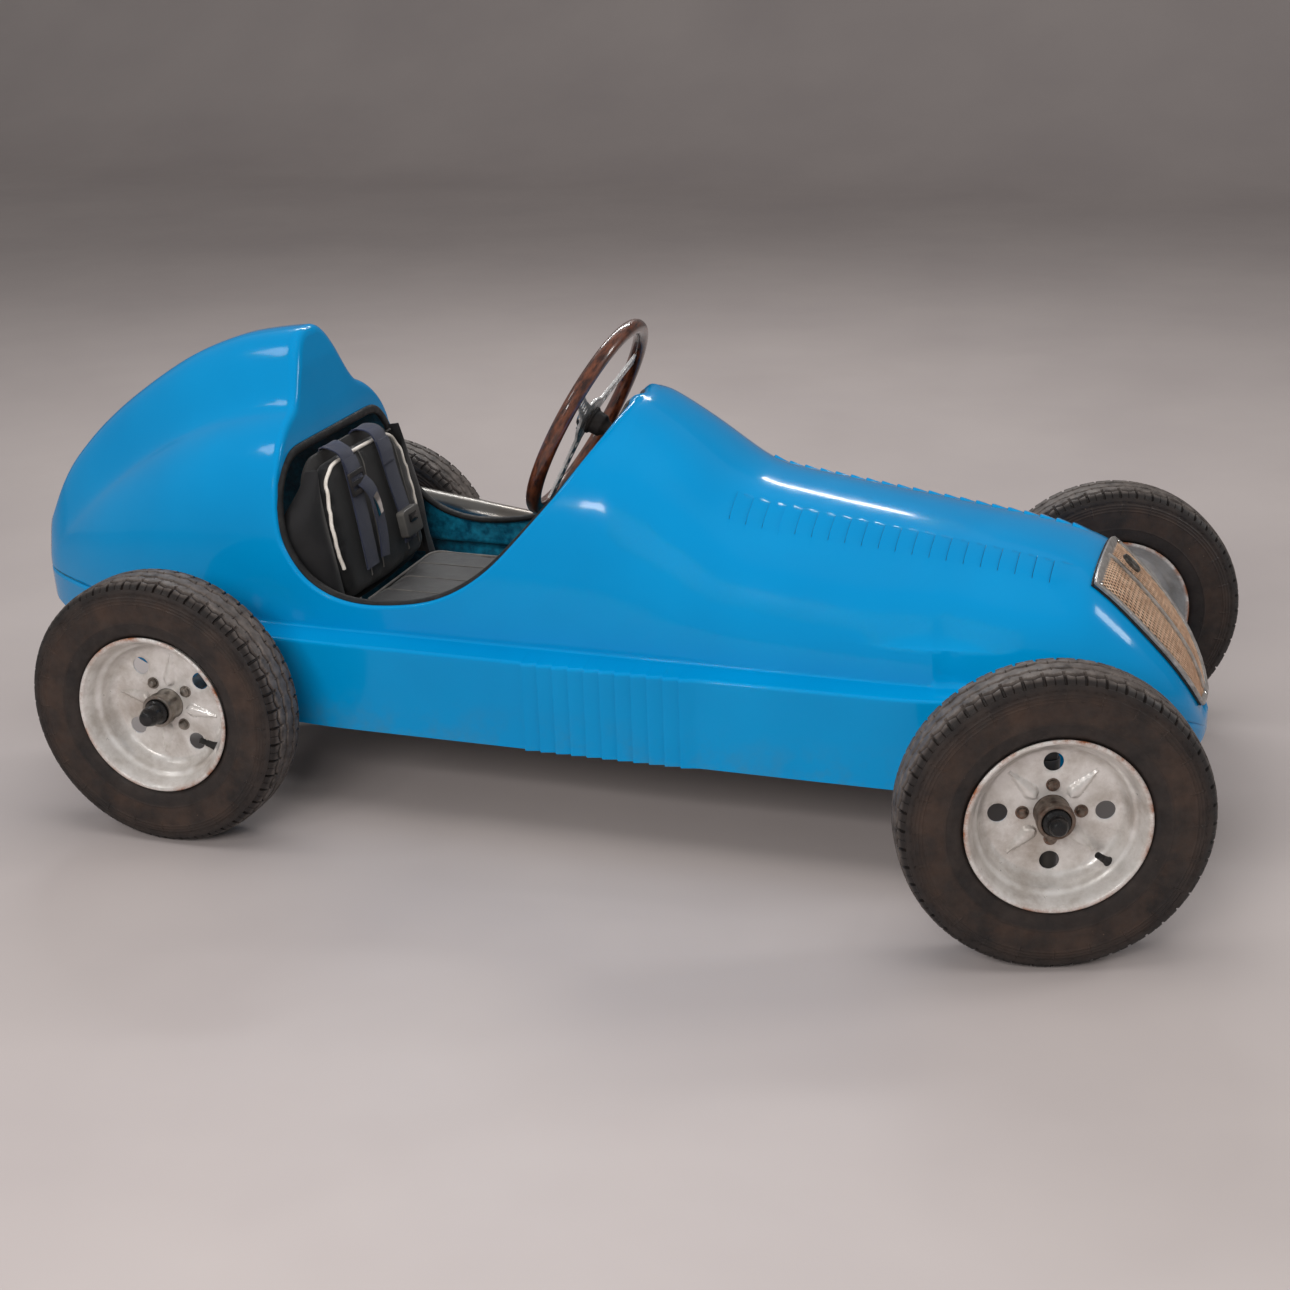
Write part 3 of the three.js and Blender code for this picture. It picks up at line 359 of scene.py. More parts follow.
FLANK_HALF, FLANK_FOOT, TOP, ROUNDNESS, FAIRING_RISE, FAIRING_HALF = range(5, 11)
FAIRING_SPREAD = 1.126


def smooth_sections():
    """The sections resampled every 2 mm along the body and rounded off between rows."""
    steps = np.hypot(np.diff(SECTIONS[:, 0]), np.diff(SECTIONS[:, TOP]))
    along = np.concatenate([[0], np.cumsum(steps)])
    samples = np.arange(0, along[-1], 2.0)
    raw = np.array([np.interp(samples, along, SECTIONS[:, k]) for k in range(SECTIONS.shape[1])]).T
    spacing = np.interp(samples, along, np.gradient(along))
    to_end = np.minimum(samples, samples[-1] - samples)
    sigma = np.minimum(np.clip(0.34 * spacing, 2, 24), 0.4 * to_end + 0.5)
    weight = np.exp(-0.5 * ((samples[:, None] - samples[None, :]) / sigma[:, None]) ** 2)
    weight /= weight.sum(1, keepdims=True)
    return weight @ raw


SMOOTH = smooth_sections()


def column(index, x):
    return np.interp(x, SMOOTH[:, 0], SMOOTH[:, index])


def upper_section(x):
    """Flank half-width, flank foot z, top z and roundness at x."""
    return (column(index, x) for index in (FLANK_HALF, FLANK_FOOT, TOP, ROUNDNESS))


def run_along(points):
    """Length along a path up to each of its points."""
    return np.concatenate([[0], np.cumsum(np.linalg.norm(np.diff(points, axis=0), axis=1))])


# Side view of the cockpit's edge, from the cowl's peak down, back and up to the top of the headrest
EDGE = np.array([
    [0, 579], [-14, 560], [-43, 519], [-104, 441], [-177, 362], [-250, 318], [-335, 302], [-400, 307],
    [-450, 333], [-484, 380], [-496, 430], [-501, 490], [-518, 570], [-534, 645],
], float)
FACE_FOOT_Z = 491.0
CORNER_Z = 436.0
FACE_LEAN = math.atan2(36, 152)
FACE_NORMAL = np.array([math.cos(FACE_LEAN), 0, math.sin(FACE_LEAN)])


def catmull(points, per_span=24):
    """Smooth curve through points."""
    padded = np.vstack([2 * points[0] - points[1], points, 2 * points[-1] - points[-2]])
    out = []
    for k in range(len(points) - 1):
        p0, p1, p2, p3 = padded[k:k + 4]
        t = np.linspace(0, 1, per_span, endpoint=False)[:, None]
        out.append(0.5 * (2 * p1 + (p2 - p0) * t + (2 * p0 - 5 * p1 + 4 * p2 - p3) * t ** 2
                          + (3 * p1 - p0 - 3 * p2 + p3) * t ** 3))
    out.append(points[-1:])
    return np.vstack(out)


def edge_heights():
    """The edge curve as two functions of x: its x values and heights, sorted by x."""
    curve = catmull(EDGE)
    keep = [0]
    for k in range(1, len(curve)):
        if curve[k, 0] < curve[keep[-1], 0] - 0.02:
            keep.append(k)
    curve = curve[keep][::-1]
    return curve[:, 0], curve[:, 1]


EDGE_X, EDGE_Z = edge_heights()
HEADREST_X, COWL_X = EDGE_X[0], EDGE_X[-1]

LOUVRE_PITCH = 21.9
BONNET_LOUVRES = [143 + LOUVRE_PITCH * k for k in range(20)]
BONNET_LOUVRE_RISE = 3.3
LOUVRE_STEP = 1.3
SILL_LOUVRES = [-112 + LOUVRE_PITCH * k for k in range(11)]
SILL_LOUVRE_RISE = 6.0
BULGE_TOP, BULGE_FRONT = 314.0, 427.0
AXLE_SLOT_HALF = 17.0


def fairing_rise(x, y):
    share = np.clip(np.abs(y) / np.maximum(FAIRING_SPREAD * column(FAIRING_HALF, x), 1), 0, 1)
    return column(FAIRING_RISE, x) * (1 - share ** 3) ** 2.6


def edge_angle(x):
    """How far round the upper section the skin goes at x before the cockpit's edge cuts it."""
    flank, foot, top, power = upper_section(x)
    height = np.interp(x, EDGE_X, EDGE_Z)
    angles = np.linspace(0, math.pi / 2, 400)
    y = flank[:, None] * np.cos(angles) ** (2 / power[:, None])
    z = foot[:, None] + (top - foot)[:, None] * np.sin(angles) ** (2 / power[:, None])
    z = z + fairing_rise(np.repeat(x[:, None], 400, 1), y)
    found = np.array([np.interp(h, row, angles) for h, row in zip(height, z)])
    inside = (x > HEADREST_X) & (x < COWL_X)
    return np.where(inside, found, math.pi / 2)


def stations():
    """Places along the body where a row of the skin's mesh lies."""
    rows = [np.linspace(HEADREST_X, SMOOTH[0, 0] + 0.5, 66)]
    first = np.interp(0, SMOOTH[:, 0], np.arange(len(SMOOTH)))
    rows.append(np.interp(np.arange(first, len(SMOOTH) - 0.4, 3.4), np.arange(len(SMOOTH)), SMOOTH[:, 0]))
    angle = edge_angle(EDGE_X)
    y = column(FLANK_HALF, EDGE_X) * np.cos(np.minimum(angle, 1.57)) ** (2 / column(ROUNDNESS, EDGE_X))
    run = run_along(np.column_stack([EDGE_X, EDGE_Z, y]))
    rows.append(np.interp(np.arange(0, run[-1], 5.5), run, EDGE_X))
    for louvres in (BONNET_LOUVRES, SILL_LOUVRES):
        for rear in louvres:
            rows.append([rear - LOUVRE_STEP, rear, rear + 1.2, rear + 5, rear + 11, rear + 17])
    rows.append([REAR_X - AXLE_SLOT_HALF, REAR_X + AXLE_SLOT_HALF])
    rows.append([HEADREST_X, COWL_X])
    fixed = {REAR_X - AXLE_SLOT_HALF, REAR_X + AXLE_SLOT_HALF, HEADREST_X, COWL_X}
    fixed |= {rear + d for rear in BONNET_LOUVRES + SILL_LOUVRES for d in (-LOUVRE_STEP, 0.0, 1.2)}
    places = np.unique(np.concatenate([np.asarray(r, float) for r in rows]))
    kept = []
    for x in places:
        # the headrest's crown needs closer rows, because its edge runs almost straight across
        closest = 0.1 if x < HEADREST_X + 8 else 0.55
        if x in fixed:
            while kept and kept[-1] not in fixed and x - kept[-1] < closest:
                kept.pop()
            kept.append(x)
        elif not kept or x - kept[-1] > closest:
            kept.append(x)
    return np.array(kept)


STATIONS = stations()

SILL_SHARES = np.array([0, 0.03, 0.1, 0.2, 0.32, 0.45, 0.58, 0.7, 0.82, 0.92, 0.97, 1.0])
SLOT_COLUMN = 6
CORNER_STEPS = 6
LEDGE_STEPS = 4
FOOT_STEPS = 5


def louvre_lines(x):
    """Angles, round the upper section, of the bulge's top line and of the louvres' lower and upper ends."""
    flank, foot, top, power = upper_section(x)

    def at_height(z):
        return np.arcsin(np.clip((z - foot) / np.maximum(top - foot, 1), 0.02, 0.98) ** (power / 2))

    def at_width(y):
        return np.arccos(np.clip(y / flank, 0.02, 0.98) ** (power / 2))

    bulge = at_height(np.minimum(BULGE_TOP, foot + 0.4 * (top - foot)))
    low = at_width(np.interp(x, [143, 559, 757], [140, 128, 20]))
    high = at_width(np.interp(x, [143, 559, 757], [90, 80, 10]))
    low = np.maximum(low, bulge + 0.12)
    high = np.clip(high, low + 0.1, 1.45)
    return bulge, low, high


def upper_angles(x):
    """Angles of the upper section's mesh lines at each station: rows of stations."""
    bulge, low, high = louvre_lines(x)
    end = np.full_like(x, math.pi / 2)
    zero = np.zeros_like(x)
    spans = [
        (zero, bulge, np.linspace(0, 1, 10)),
        (bulge, bulge + 0.02, np.array([0.5, 1.0])),
        (bulge + 0.02, low, np.linspace(0, 1, 10)[1:]),
        (low, high - 0.012, np.linspace(0, 1, 10)[1:]),
        (high - 0.012, high, np.array([0.5, 1.0])),
        (high, end, np.linspace(0, 1, 15)[1:]),
    ]
    angles = np.concatenate([a[:, None] + (b - a)[:, None] * s[None, :] for a, b, s in spans], axis=1)
    return angles * (edge_angle(x) / (math.pi / 2))[:, None]


def saw(x, rear_edges, rise):
    """Height of rear-facing louvres: full at each rear edge, falling to nothing at the next one."""
    along = np.full_like(x, -1.0)
    for rear in rear_edges:
        inside = (x >= rear - 1e-6) & (x < rear + LOUVRE_PITCH - 1e-6)
        along = np.where(inside, (x - rear) / LOUVRE_PITCH, along)
    height = np.where(along >= 0, rise * (1 - along) ** 0.9, 0)
    return height * np.where((along >= 0) & (along < 0.02), 0.94, 1)


def half_skin(details):
    """Left half of the outer skin as a grid: stations by mesh lines, from the bottom edge to the middle."""
    x = STATIONS
    bottom, bottom_half, sill, ledge, flank, foot, top, power = (column(k, x) for k in range(1, 9))
    columns = []
    round_edge = np.minimum(5.0, 0.25 * (ledge - bottom))
    for share in SILL_SHARES:
        y = bottom_half + (sill - bottom_half) * share
        columns.append((y, bottom + (ledge - round_edge - bottom) * share))
    for k in range(1, CORNER_STEPS + 1):
        turn = 0.5 * math.pi * k / CORNER_STEPS
        columns.append((sill - round_edge * (1 - math.cos(turn)), ledge - round_edge * (1 - math.sin(turn))))
    room = np.maximum(sill - round_edge - flank, 0.05)
    fillet = np.minimum(np.interp(x, [-700, 300, 426, 436, 560], [4, 4, 4, 15, 8]), 0.45 * room)
    start = sill - round_edge
    stop = flank + fillet
    for k in range(1, LEDGE_STEPS + 1):
        share = k / LEDGE_STEPS
        columns.append((start + (stop - start) * share, ledge + (foot - ledge) * share))
    for k in range(1, FOOT_STEPS + 1):
        turn = 0.5 * math.pi * k / FOOT_STEPS
        columns.append((flank + fillet * (1 - math.sin(turn)), foot + fillet * (1 - math.cos(turn))))
    lower_y, lower_z = np.array(columns).transpose(1, 2, 0)
    angles = upper_angles(x)
    cosine = np.maximum(np.cos(angles), 0)
    upper_y = flank[:, None] * cosine ** (2 / power[:, None])
    upper_y = np.where(angles > math.pi / 2 - 1e-6, 0, upper_y)
    upper_z = foot[:, None] + (top - foot)[:, None] * np.sin(angles) ** (2 / power[:, None])
    # the first lines start on top of the fillet at the foot
    upper_z = np.maximum(upper_z, (foot + fillet)[:, None] + 0.48 * np.arange(upper_z.shape[1])[None, :])
    wide = np.repeat(x[:, None], upper_y.shape[1], 1)
    upper_z = upper_z + fairing_rise(wide, upper_y)
    y = np.hstack([lower_y, upper_y[:, 1:]])
    z = np.hstack([lower_z, upper_z[:, 1:]])
    wide = np.repeat(x[:, None], y.shape[1], 1)
    points = np.dstack([wide, y, z])
    # both ends close on the middle plane
    points[[0, -1], :, 1] = 0
    return carved(points, lower_y.shape[1], details)


def bulge_front(z):
    return BULGE_FRONT + (BULGE_TOP - z) * 0.16


def bulge_inside(x, z):
    """1 behind and below the rounded front corner of the flank's bulge, 0 beyond it."""
    front = bulge_front(z)
    past_front = ease(x, front - 2.0, front + 2.5)
    past_top = ease(z, BULGE_TOP - 2.0, BULGE_TOP + 2.5)
    corner = np.hypot(np.maximum(x - (front - 12), 0), np.maximum(z - (BULGE_TOP - 12), 0))
    past_corner = ease(corner, 10.0, 14.5)
    return 1 - np.maximum(np.maximum(past_front, past_top), past_corner)


def carved(points, lower_count, details):
    """Adds the bulge's step, the tuck of the nose under it, and, with details, the louvres."""
    x, y, z = points[..., 0], points[..., 1].copy(), points[..., 2].copy()
    inside = bulge_inside(x, z)
    on_flank = np.zeros_like(x)
    on_flank[:, lower_count - FOOT_STEPS - 1:] = 1
    into = np.clip((x - bulge_front(z)) / 26, 0, 1)
    tuck = 5 * (1 - (1 - into) ** 2) * (1 - ease(x, 480, 600)) * (1 - ease(z, 285, 400)) * on_flank
    above = np.clip((z - BULGE_TOP) / 15, 0, 1)
    top_share = (1 - (1 - above) ** 2) * (1 - ease(z, BULGE_TOP + 26, BULGE_TOP + 100))
    shelf = 7.0 * ease(x, 325, 415) * (1 - ease(x, 440, 540)) * top_share * (1 - inside) * on_flank
    y = y - (tuck + shelf) * np.clip(y / 60, 0, 1)
    if details:
        sill_rise = saw(x, SILL_LOUVRES, SILL_LOUVRE_RISE)
        lines = np.arange(x.shape[1])[None, :]
        ledge_end = lower_count - FOOT_STEPS
        fade = 1 - np.clip((lines - len(SILL_SHARES) - CORNER_STEPS + 1) / LEDGE_STEPS, 0, 1)
        y = y + sill_rise * np.where(lines < ledge_end, fade, 0)
        _, low, high = louvre_lines(STATIONS)
        angles = np.hstack([np.zeros((len(STATIONS), lower_count)), upper_angles(STATIONS)[:, 1:]])
        enters = ease(angles, low[:, None], (low + 0.07)[:, None])
        leaves = 1 - np.clip((angles - (high - 0.0125)[:, None]) / 0.0125, 0, 1)
        rise = saw(x, BONNET_LOUVRES, BONNET_LOUVRE_RISE) * enters * leaves
        slope = np.arctan2(np.gradient(z, axis=1), -np.gradient(y, axis=1) + 1e-9)
        y = y + rise * np.sin(slope)
        z = z + rise * np.cos(slope)
    return np.dstack([x, y, z])


LIP_STEPS = 5
FLANGE_STEPS = 5
FACE_STEPS = 10


def lip_and_face(skin):
    """Extra mesh lines where the cockpit's edge cuts the skin: rounded lip, flange and headrest face."""
    x = STATIONS
    open_rows = np.where((x >= HEADREST_X) & (x <= COWL_X))[0]
    edge = skin[open_rows, -1]
    along = np.gradient(edge, axis=0)
    along[0] = along[-1] = (0, 1, 0)
    along /= np.linalg.norm(along, axis=1, keepdims=True)
    across = skin[open_rows, -1] - skin[open_rows, -3]
    across[-1] = (-1, 0, 0.3)
    normal = np.cross(along, across)
    normal /= np.maximum(np.linalg.norm(normal, axis=1, keepdims=True), 1e-9)
    inwards = np.cross(normal, along)
    inwards /= np.maximum(np.linalg.norm(inwards, axis=1, keepdims=True), 1e-9)
    inwards *= np.sign((inwards * across).sum(1, keepdims=True))
    # round the headrest the lip turns into the plane of its face
    high = ease(edge[:, 2], 450, 485)[:, None] * (edge[:, 0] < -440)[:, None]
    inwards = inwards * (1 - high) + FACE_NORMAL * high
    inwards /= np.linalg.norm(inwards, axis=1, keepdims=True)
    normal = np.cross(along, inwards)
    normal /= np.linalg.norm(normal, axis=1, keepdims=True)
    outside = edge - np.array([-250.0, 0, 330.0])
    normal *= np.sign((normal * outside).sum(1, keepdims=True))
    inwards[-1], normal[-1] = (-0.9, 0, 0.3), (0.45, 0, 0.89)
    radius = np.interp(edge[:, 2], [300, 470, 520, 600], [5, 6, 10, 15])[:, None]
    lines = []
    corner = edge + inwards * radius
    inner = corner - normal * radius
    for k in range(1, LIP_STEPS + 1):
        t = k / LIP_STEPS
        lines.append(edge * (1 - t) ** 2 + 2 * corner * t * (1 - t) + inner * t ** 2)
    # the flange: short on the sides, wide at the rear corners, right across above the trim
    rear = edge[:, 0] < -440
    z = inner[:, 2]
    short = inner - normal * 9
    rise = np.clip((z - CORNER_Z) / (FACE_FOOT_Z - CORNER_Z), 0, 1)
    corner_y = inner[:, 1] - 10 - 26 * (1 - np.sqrt(np.maximum(1 - rise ** 2, 0)))
    wide = inner.copy()
    wide[:, 1] = np.where(z >= FACE_FOOT_Z, inner[:, 1] * 0.78, np.minimum(corner_y, inner[:, 1]))
    blend = (ease(z, 380, CORNER_Z) * rear)[:, None]
    stop = short * (1 - blend) + wide * blend
    for k in range(1, FLANGE_STEPS + 1):
        t = k / FLANGE_STEPS
        lines.append(inner + (stop - inner) * t)
    side = np.stack(lines, axis=1)
    face_rows = np.where(rear & (z >= FACE_FOOT_Z - 0.01))[0]
    face = np.stack([
        np.column_stack([stop[:, 0], stop[:, 1] * (1 - k / FACE_STEPS), stop[:, 2]])
        for k in range(1, FACE_STEPS + 1)
    ], axis=1)
    return open_rows, side, face_rows, face, normal


def body_points(details):
    skin = half_skin(details)
    open_rows, side, face_rows, face, _ = lip_and_face(half_skin(False))
    side[:, :, 1] = np.maximum(side[:, :, 1], 0)
    return skin, open_rows, side, face_rows, face


def grid_faces(index, flip=False):
    """Quads over a grid of vertex numbers."""
    a, b = index[:-1, :-1], index[:-1, 1:]
    c, d = index[1:, 1:], index[1:, :-1]
    quads = np.stack([a, b, c, d], axis=-1).reshape(-1, 4)
    return quads[:, ::-1] if flip else quads


UPPER_LINES = 46


def body_faces():
    """Quads of the left half and the material number of each, the same with and without details."""
    skin, open_rows, side, face_rows, face = body_points(False)
    rows, lines = skin.shape[:2]
    main = np.arange(rows * lines).reshape(rows, lines)
    quads = grid_faces(main)
    cell_x = 0.5 * (STATIONS[:-1] + STATIONS[1:])
    in_slot = np.abs(cell_x - REAR_X) < AXLE_SLOT_HALF
    slot = np.zeros((rows - 1, lines - 1), bool)
    slot[in_slot, :SLOT_COLUMN] = True
    # the rear-facing steps of the louvres, painted dark as shade
    steps = np.zeros((rows - 1, lines - 1), bool)
    upper = lines - UPPER_LINES
    spans = ((BONNET_LOUVRES, upper + 21, upper + 31), (SILL_LOUVRES, 0, len(SILL_SHARES)))
    for louvres, first, last in spans:
        for rear in louvres:
            steps[np.abs(cell_x - rear + LOUVRE_STEP / 2) < 0.3, first:last] = True
    steps = steps.reshape(-1)[~slot.reshape(-1)]
    quads = quads[~slot.reshape(-1)]
    count = rows * lines
    side_index = count + np.arange(side.shape[0] * side.shape[1]).reshape(side.shape[:2])
    side_index = np.hstack([main[open_rows, -1][:, None], side_index])
    quads = np.vstack([quads, grid_faces(side_index)])
    count += side.shape[0] * side.shape[1]
    face_index = count + np.arange(face.shape[0] * face.shape[1]).reshape(face.shape[:2])
    face_index = np.hstack([side_index[:, -1][:, None], face_index])[face_rows]
    quads = np.vstack([quads, grid_faces(face_index)])
    kinds = np.zeros(len(quads), int)
    kinds[:len(steps)][steps] = 2
    return quads, kinds


def body_vertices(details):
    skin, _, side, _, face = body_points(details)
    return np.vstack([skin.reshape(-1, 3), side.reshape(-1, 3), face.reshape(-1, 3)])


SHELL = 4.0


def build_body():
    quads, outer_kinds = body_faces()
    outer, plain = body_vertices(True), body_vertices(False)
    normals = vertex_normals(plain, quads)
    middle_line = plain[:, 1] < 0.01
    normals[middle_line, 1] = 0
    normals /= np.maximum(np.linalg.norm(normals, axis=1, keepdims=True), 1e-9)
    towards = 1.0 if np.mean((normals * (plain - plain.mean(0)))[:, 2]) > 0 else -1.0
    inner = plain - normals * SHELL * towards
    if towards < 0:
        quads = quads[:, ::-1]
    count = len(outer)
    half = np.vstack([outer, inner])
    faces = np.vstack([quads, quads[:, ::-1] + count])
    kinds = np.concatenate([outer_kinds, np.ones(len(quads))])
    mirrored = half * np.array([1, -1, 1])
    verts = np.vstack([half, mirrored])
    faces = np.vstack([faces, faces[:, ::-1] + len(half)])
    kinds = np.concatenate([kinds, kinds]).astype(int)
    skin = new_object("body_skin", verts, faces, [PAINT, LINING, LOUVRE_STEP_SHADE], 34, kinds)
    close_shell(skin, count)
    return skin


def close_shell(obj, count):
    """Welds the halves and closes the shell's thickness along every open edge."""
    mesh = bmesh.new()
    mesh.from_mesh(obj.data)
    partner = {}
    verts = list(mesh.verts)
    for start in (0, 2 * count):
        for k in range(count):
            partner[verts[start + k]] = verts[start + count + k]
    on_middle = [v for v in verts if abs(v.co.y) < 1e-5]
    borders = []
    for edge in mesh.edges:
        if len(edge.link_faces) == 1 and edge.verts[0] in partner and edge.verts[1] in partner:
            if abs(edge.verts[0].co.y) > 1e-5 or abs(edge.verts[1].co.y) > 1e-5:
                borders.append((edge, edge.link_faces[0]))
    for edge, face in borders:
        loop = next(l for l in face.loops if l.edge == edge)
        a, b = loop.vert, loop.link_loop_next.vert
        corners = [b, a, partner[a], partner[b]]
        if len(set(corners)) == 4:
            mesh.faces.new(corners).material_index = 0
    bmesh.ops.remove_doubles(mesh, verts=on_middle, dist=2e-5)
    bmesh.ops.dissolve_degenerate(mesh, dist=1e-6, edges=mesh.edges)
    loose = [v for v in mesh.verts if not v.link_faces]
    bmesh.ops.delete(mesh, geom=loose, context="VERTS")
    mesh.to_mesh(obj.data)
    mesh.free()
    smoothed(obj, 34)


finish_piece(build_body(), "chassis", "body_paint", "body_shell")


# ---------------------------------------------------------------- shared shapes
def rounded(points, radius=1.0, steps=3, closed=False):
    """Outline with its corners rounded off."""
    points = [np.asarray(p, float) for p in points]
    out = []
    for k, point in enumerate(points):
        if not closed and k in (0, len(points) - 1):
            out.append(point)
            continue
        back, ahead = points[k - 1] - point, points[(k + 1) % len(points)] - point
        reach = min(radius, 0.45 * np.linalg.norm(back), 0.45 * np.linalg.norm(ahead))
        start = point + back / np.linalg.norm(back) * reach
        stop = point + ahead / np.linalg.norm(ahead) * reach
        for t in np.linspace(0, 1, steps + 1):
            out.append(start * (1 - t) ** 2 + 2 * point * t * (1 - t) + stop * t * t)
    return np.array(out)


def ring_faces(rows, count, closed=False, caps=False):
    """Quads between rings of points; closed joins the last ring to the first, caps fills the end rings."""
    faces = []
    for i in range(rows if closed else rows - 1):
        for j in range(count):
            k = (j + 1) % count
            n = (i + 1) % rows
            faces.append((i * count + j, i * count + k, n * count + k, n * count + j))
    if caps:
        faces.append(tuple(range(count))[::-1])
        faces.append(tuple((rows - 1) * count + j for j in range(count)))
    return faces


def turned(profile, segments=64, bent=None):
    """Surface of revolution about local Y from (radius, y) points; bent may move its points."""
    turn = np.linspace(0, 2 * math.pi, segments, endpoint=False)
    profile = np.asarray(profile, float)
    verts = np.stack([
        profile[:, :1] * np.cos(turn), np.repeat(profile[:, 1:], segments, 1), profile[:, :1] * np.sin(turn),
    ], axis=-1)
    if bent:
        verts = bent(verts)
    return verts.reshape(-1, 3), ring_faces(len(profile), segments)


def circle(radius, count):
    turn = np.linspace(0, 2 * math.pi, count, endpoint=False)
    return np.column_stack([radius * np.cos(turn), radius * np.sin(turn)])


def oblong(width, height, radius, steps, centre=(0, 0)):
    """Closed rectangle with rounded corners."""
    corners = np.array([(-1, -1), (1, -1), (1, 1), (-1, 1)]) * (width / 2, height / 2) + centre
    return rounded(corners, radius, steps, closed=True)


def swept(path, section, hint=(0, 0, 1), closed=False, scale=None):
    """Section carried along a path; its first axis lies towards hint, which may be given per point."""
    path = np.asarray(path, float)
    if closed:
        along = np.roll(path, -1, 0) - np.roll(path, 1, 0)
    else:
        along = np.gradient(path, axis=0)
    along /= np.linalg.norm(along, axis=1, keepdims=True)
    hint = np.broadcast_to(np.asarray(hint, float), path.shape)
    first = hint - along * (hint * along).sum(1, keepdims=True)
    first /= np.linalg.norm(first, axis=1, keepdims=True)
    second = np.cross(along, first)
    size = np.ones(len(path)) if scale is None else np.asarray(scale, float)
    section = np.asarray(section, float)
    offsets = section[None, :, :1] * first[:, None] + section[None, :, 1:] * second[:, None]
    rings = path[:, None] + offsets * size[:, None, None]
    return rings.reshape(-1, 3), ring_faces(len(path), len(section), closed, not closed)


def merged(*parts):
    """Several (points, faces) shapes as one."""
    verts, faces, start = [], [], 0
    for points, quads in parts:
        verts.append(np.asarray(points, float).reshape(-1, 3))
        faces += [tuple(v + start for v in face) for face in quads]
        start += len(verts[-1])
    return np.vstack(verts), faces


def outward(obj, weld=1e-6):
    """Welds a mesh and turns all its faces outwards."""
    mesh = bmesh.new()
    mesh.from_mesh(obj.data)
    bmesh.ops.remove_doubles(mesh, verts=mesh.verts, dist=weld)
    bmesh.ops.dissolve_degenerate(mesh, dist=1e-7, edges=mesh.edges)
    bmesh.ops.recalc_face_normals(mesh, faces=mesh.faces)
    mesh.to_mesh(obj.data)
    mesh.free()
    return obj


def piece(name, shape, material, matrix=None, angle=35.0):
    """Mesh object from millimetres about the datum, or about a frame of its own given as a matrix."""
    points, faces = shape
    verts = placed(points) if matrix is None else np.asarray(points, float) * MM
    mesh = bpy.data.meshes.new(name)
    mesh.from_pydata(verts.tolist(), [], [list(f) for f in faces])
    mesh.materials.append(material)
    obj = bpy.data.objects.new(name, mesh)
    bpy.context.scene.collection.objects.link(obj)
    if matrix is not None:
        obj.matrix_world = matrix
    outward(obj)
    return smoothed(obj, angle)


def applied(obj):
    """Replaces the mesh with what its modifiers make of it."""
    bpy.context.view_layer.update()
    graph = bpy.context.evaluated_depsgraph_get()
    mesh = bpy.data.meshes.new_from_object(obj.evaluated_get(graph), depsgraph=graph)
    obj.modifiers.clear()
    obj.data = mesh
    return obj


def bevelled(obj, width, segments=2, angle=30.0):
    """Rounds the edges of a mesh by a width in millimetres."""
    modifier = obj.modifiers.new("bevel", "BEVEL")
    modifier.width = width * MM
    modifier.segments = segments
    modifier.limit_method = "ANGLE"
    modifier.angle_limit = math.radians(angle)
    return smoothed(applied(obj), 35)


def drilled(obj, shapes, matrix):
    """Cuts closed shapes, given in the piece's own frame, out of it."""
    tool = piece("drill", merged(*shapes), obj.data.materials[0], matrix)
    modifier = obj.modifiers.new("drill", "BOOLEAN")
    modifier.operation = "DIFFERENCE"
    modifier.solver = "EXACT"
    modifier.object = tool
    applied(obj)
    bpy.data.objects.remove(tool)
    return smoothed(obj, 35)


def rod(start, stop, radius, sides=24):
    """Closed cylinder with slightly rounded ends."""
    start, stop = np.asarray(start, float), np.asarray(stop, float)
    along = (stop - start) / np.linalg.norm(stop - start)
    edge = min(0.8, 0.3 * radius)
    path = np.array([start, start + along * edge, stop - along * edge, stop])
    hint = (0, 0, 1) if abs(along[2]) < 0.9 else (1, 0, 0)
    return swept(path, circle(radius, sides), hint, scale=[1 - edge / radius, 1, 1, 1 - edge / radius])


def plate(name, outlines, thick, material, matrix, bevel=0.5):
    """Flat plate with holes, drawn in its own X and Y, with rounded edges."""
    curve = bpy.data.curves.new(name, "CURVE")
    curve.dimensions = "2D"
    curve.fill_mode = "BOTH"
    curve.extrude = (thick / 2 - bevel) * MM
    curve.bevel_depth = bevel * MM
    curve.bevel_resolution = 2
    curve.offset = -bevel * MM
    for outline in outlines:
        spline = curve.splines.new("POLY")
        spline.points.add(len(outline) - 1)
        for point, (x, y) in zip(spline.points, outline):
            point.co = (x * MM, y * MM, 0, 1)
        spline.use_cyclic_u = True
    drawn = bpy.data.objects.new(name + "_outline", curve)
    bpy.context.scene.collection.objects.link(drawn)
    bpy.context.view_layer.update()
    mesh = bpy.data.meshes.new_from_object(drawn)
    bpy.data.objects.remove(drawn)
    mesh.materials.clear()
    mesh.materials.append(material)
    obj = bpy.data.objects.new(name, mesh)
    bpy.context.scene.collection.objects.link(obj)
    obj.matrix_world = matrix
    return smoothed(outward(obj, 2e-5), 35)


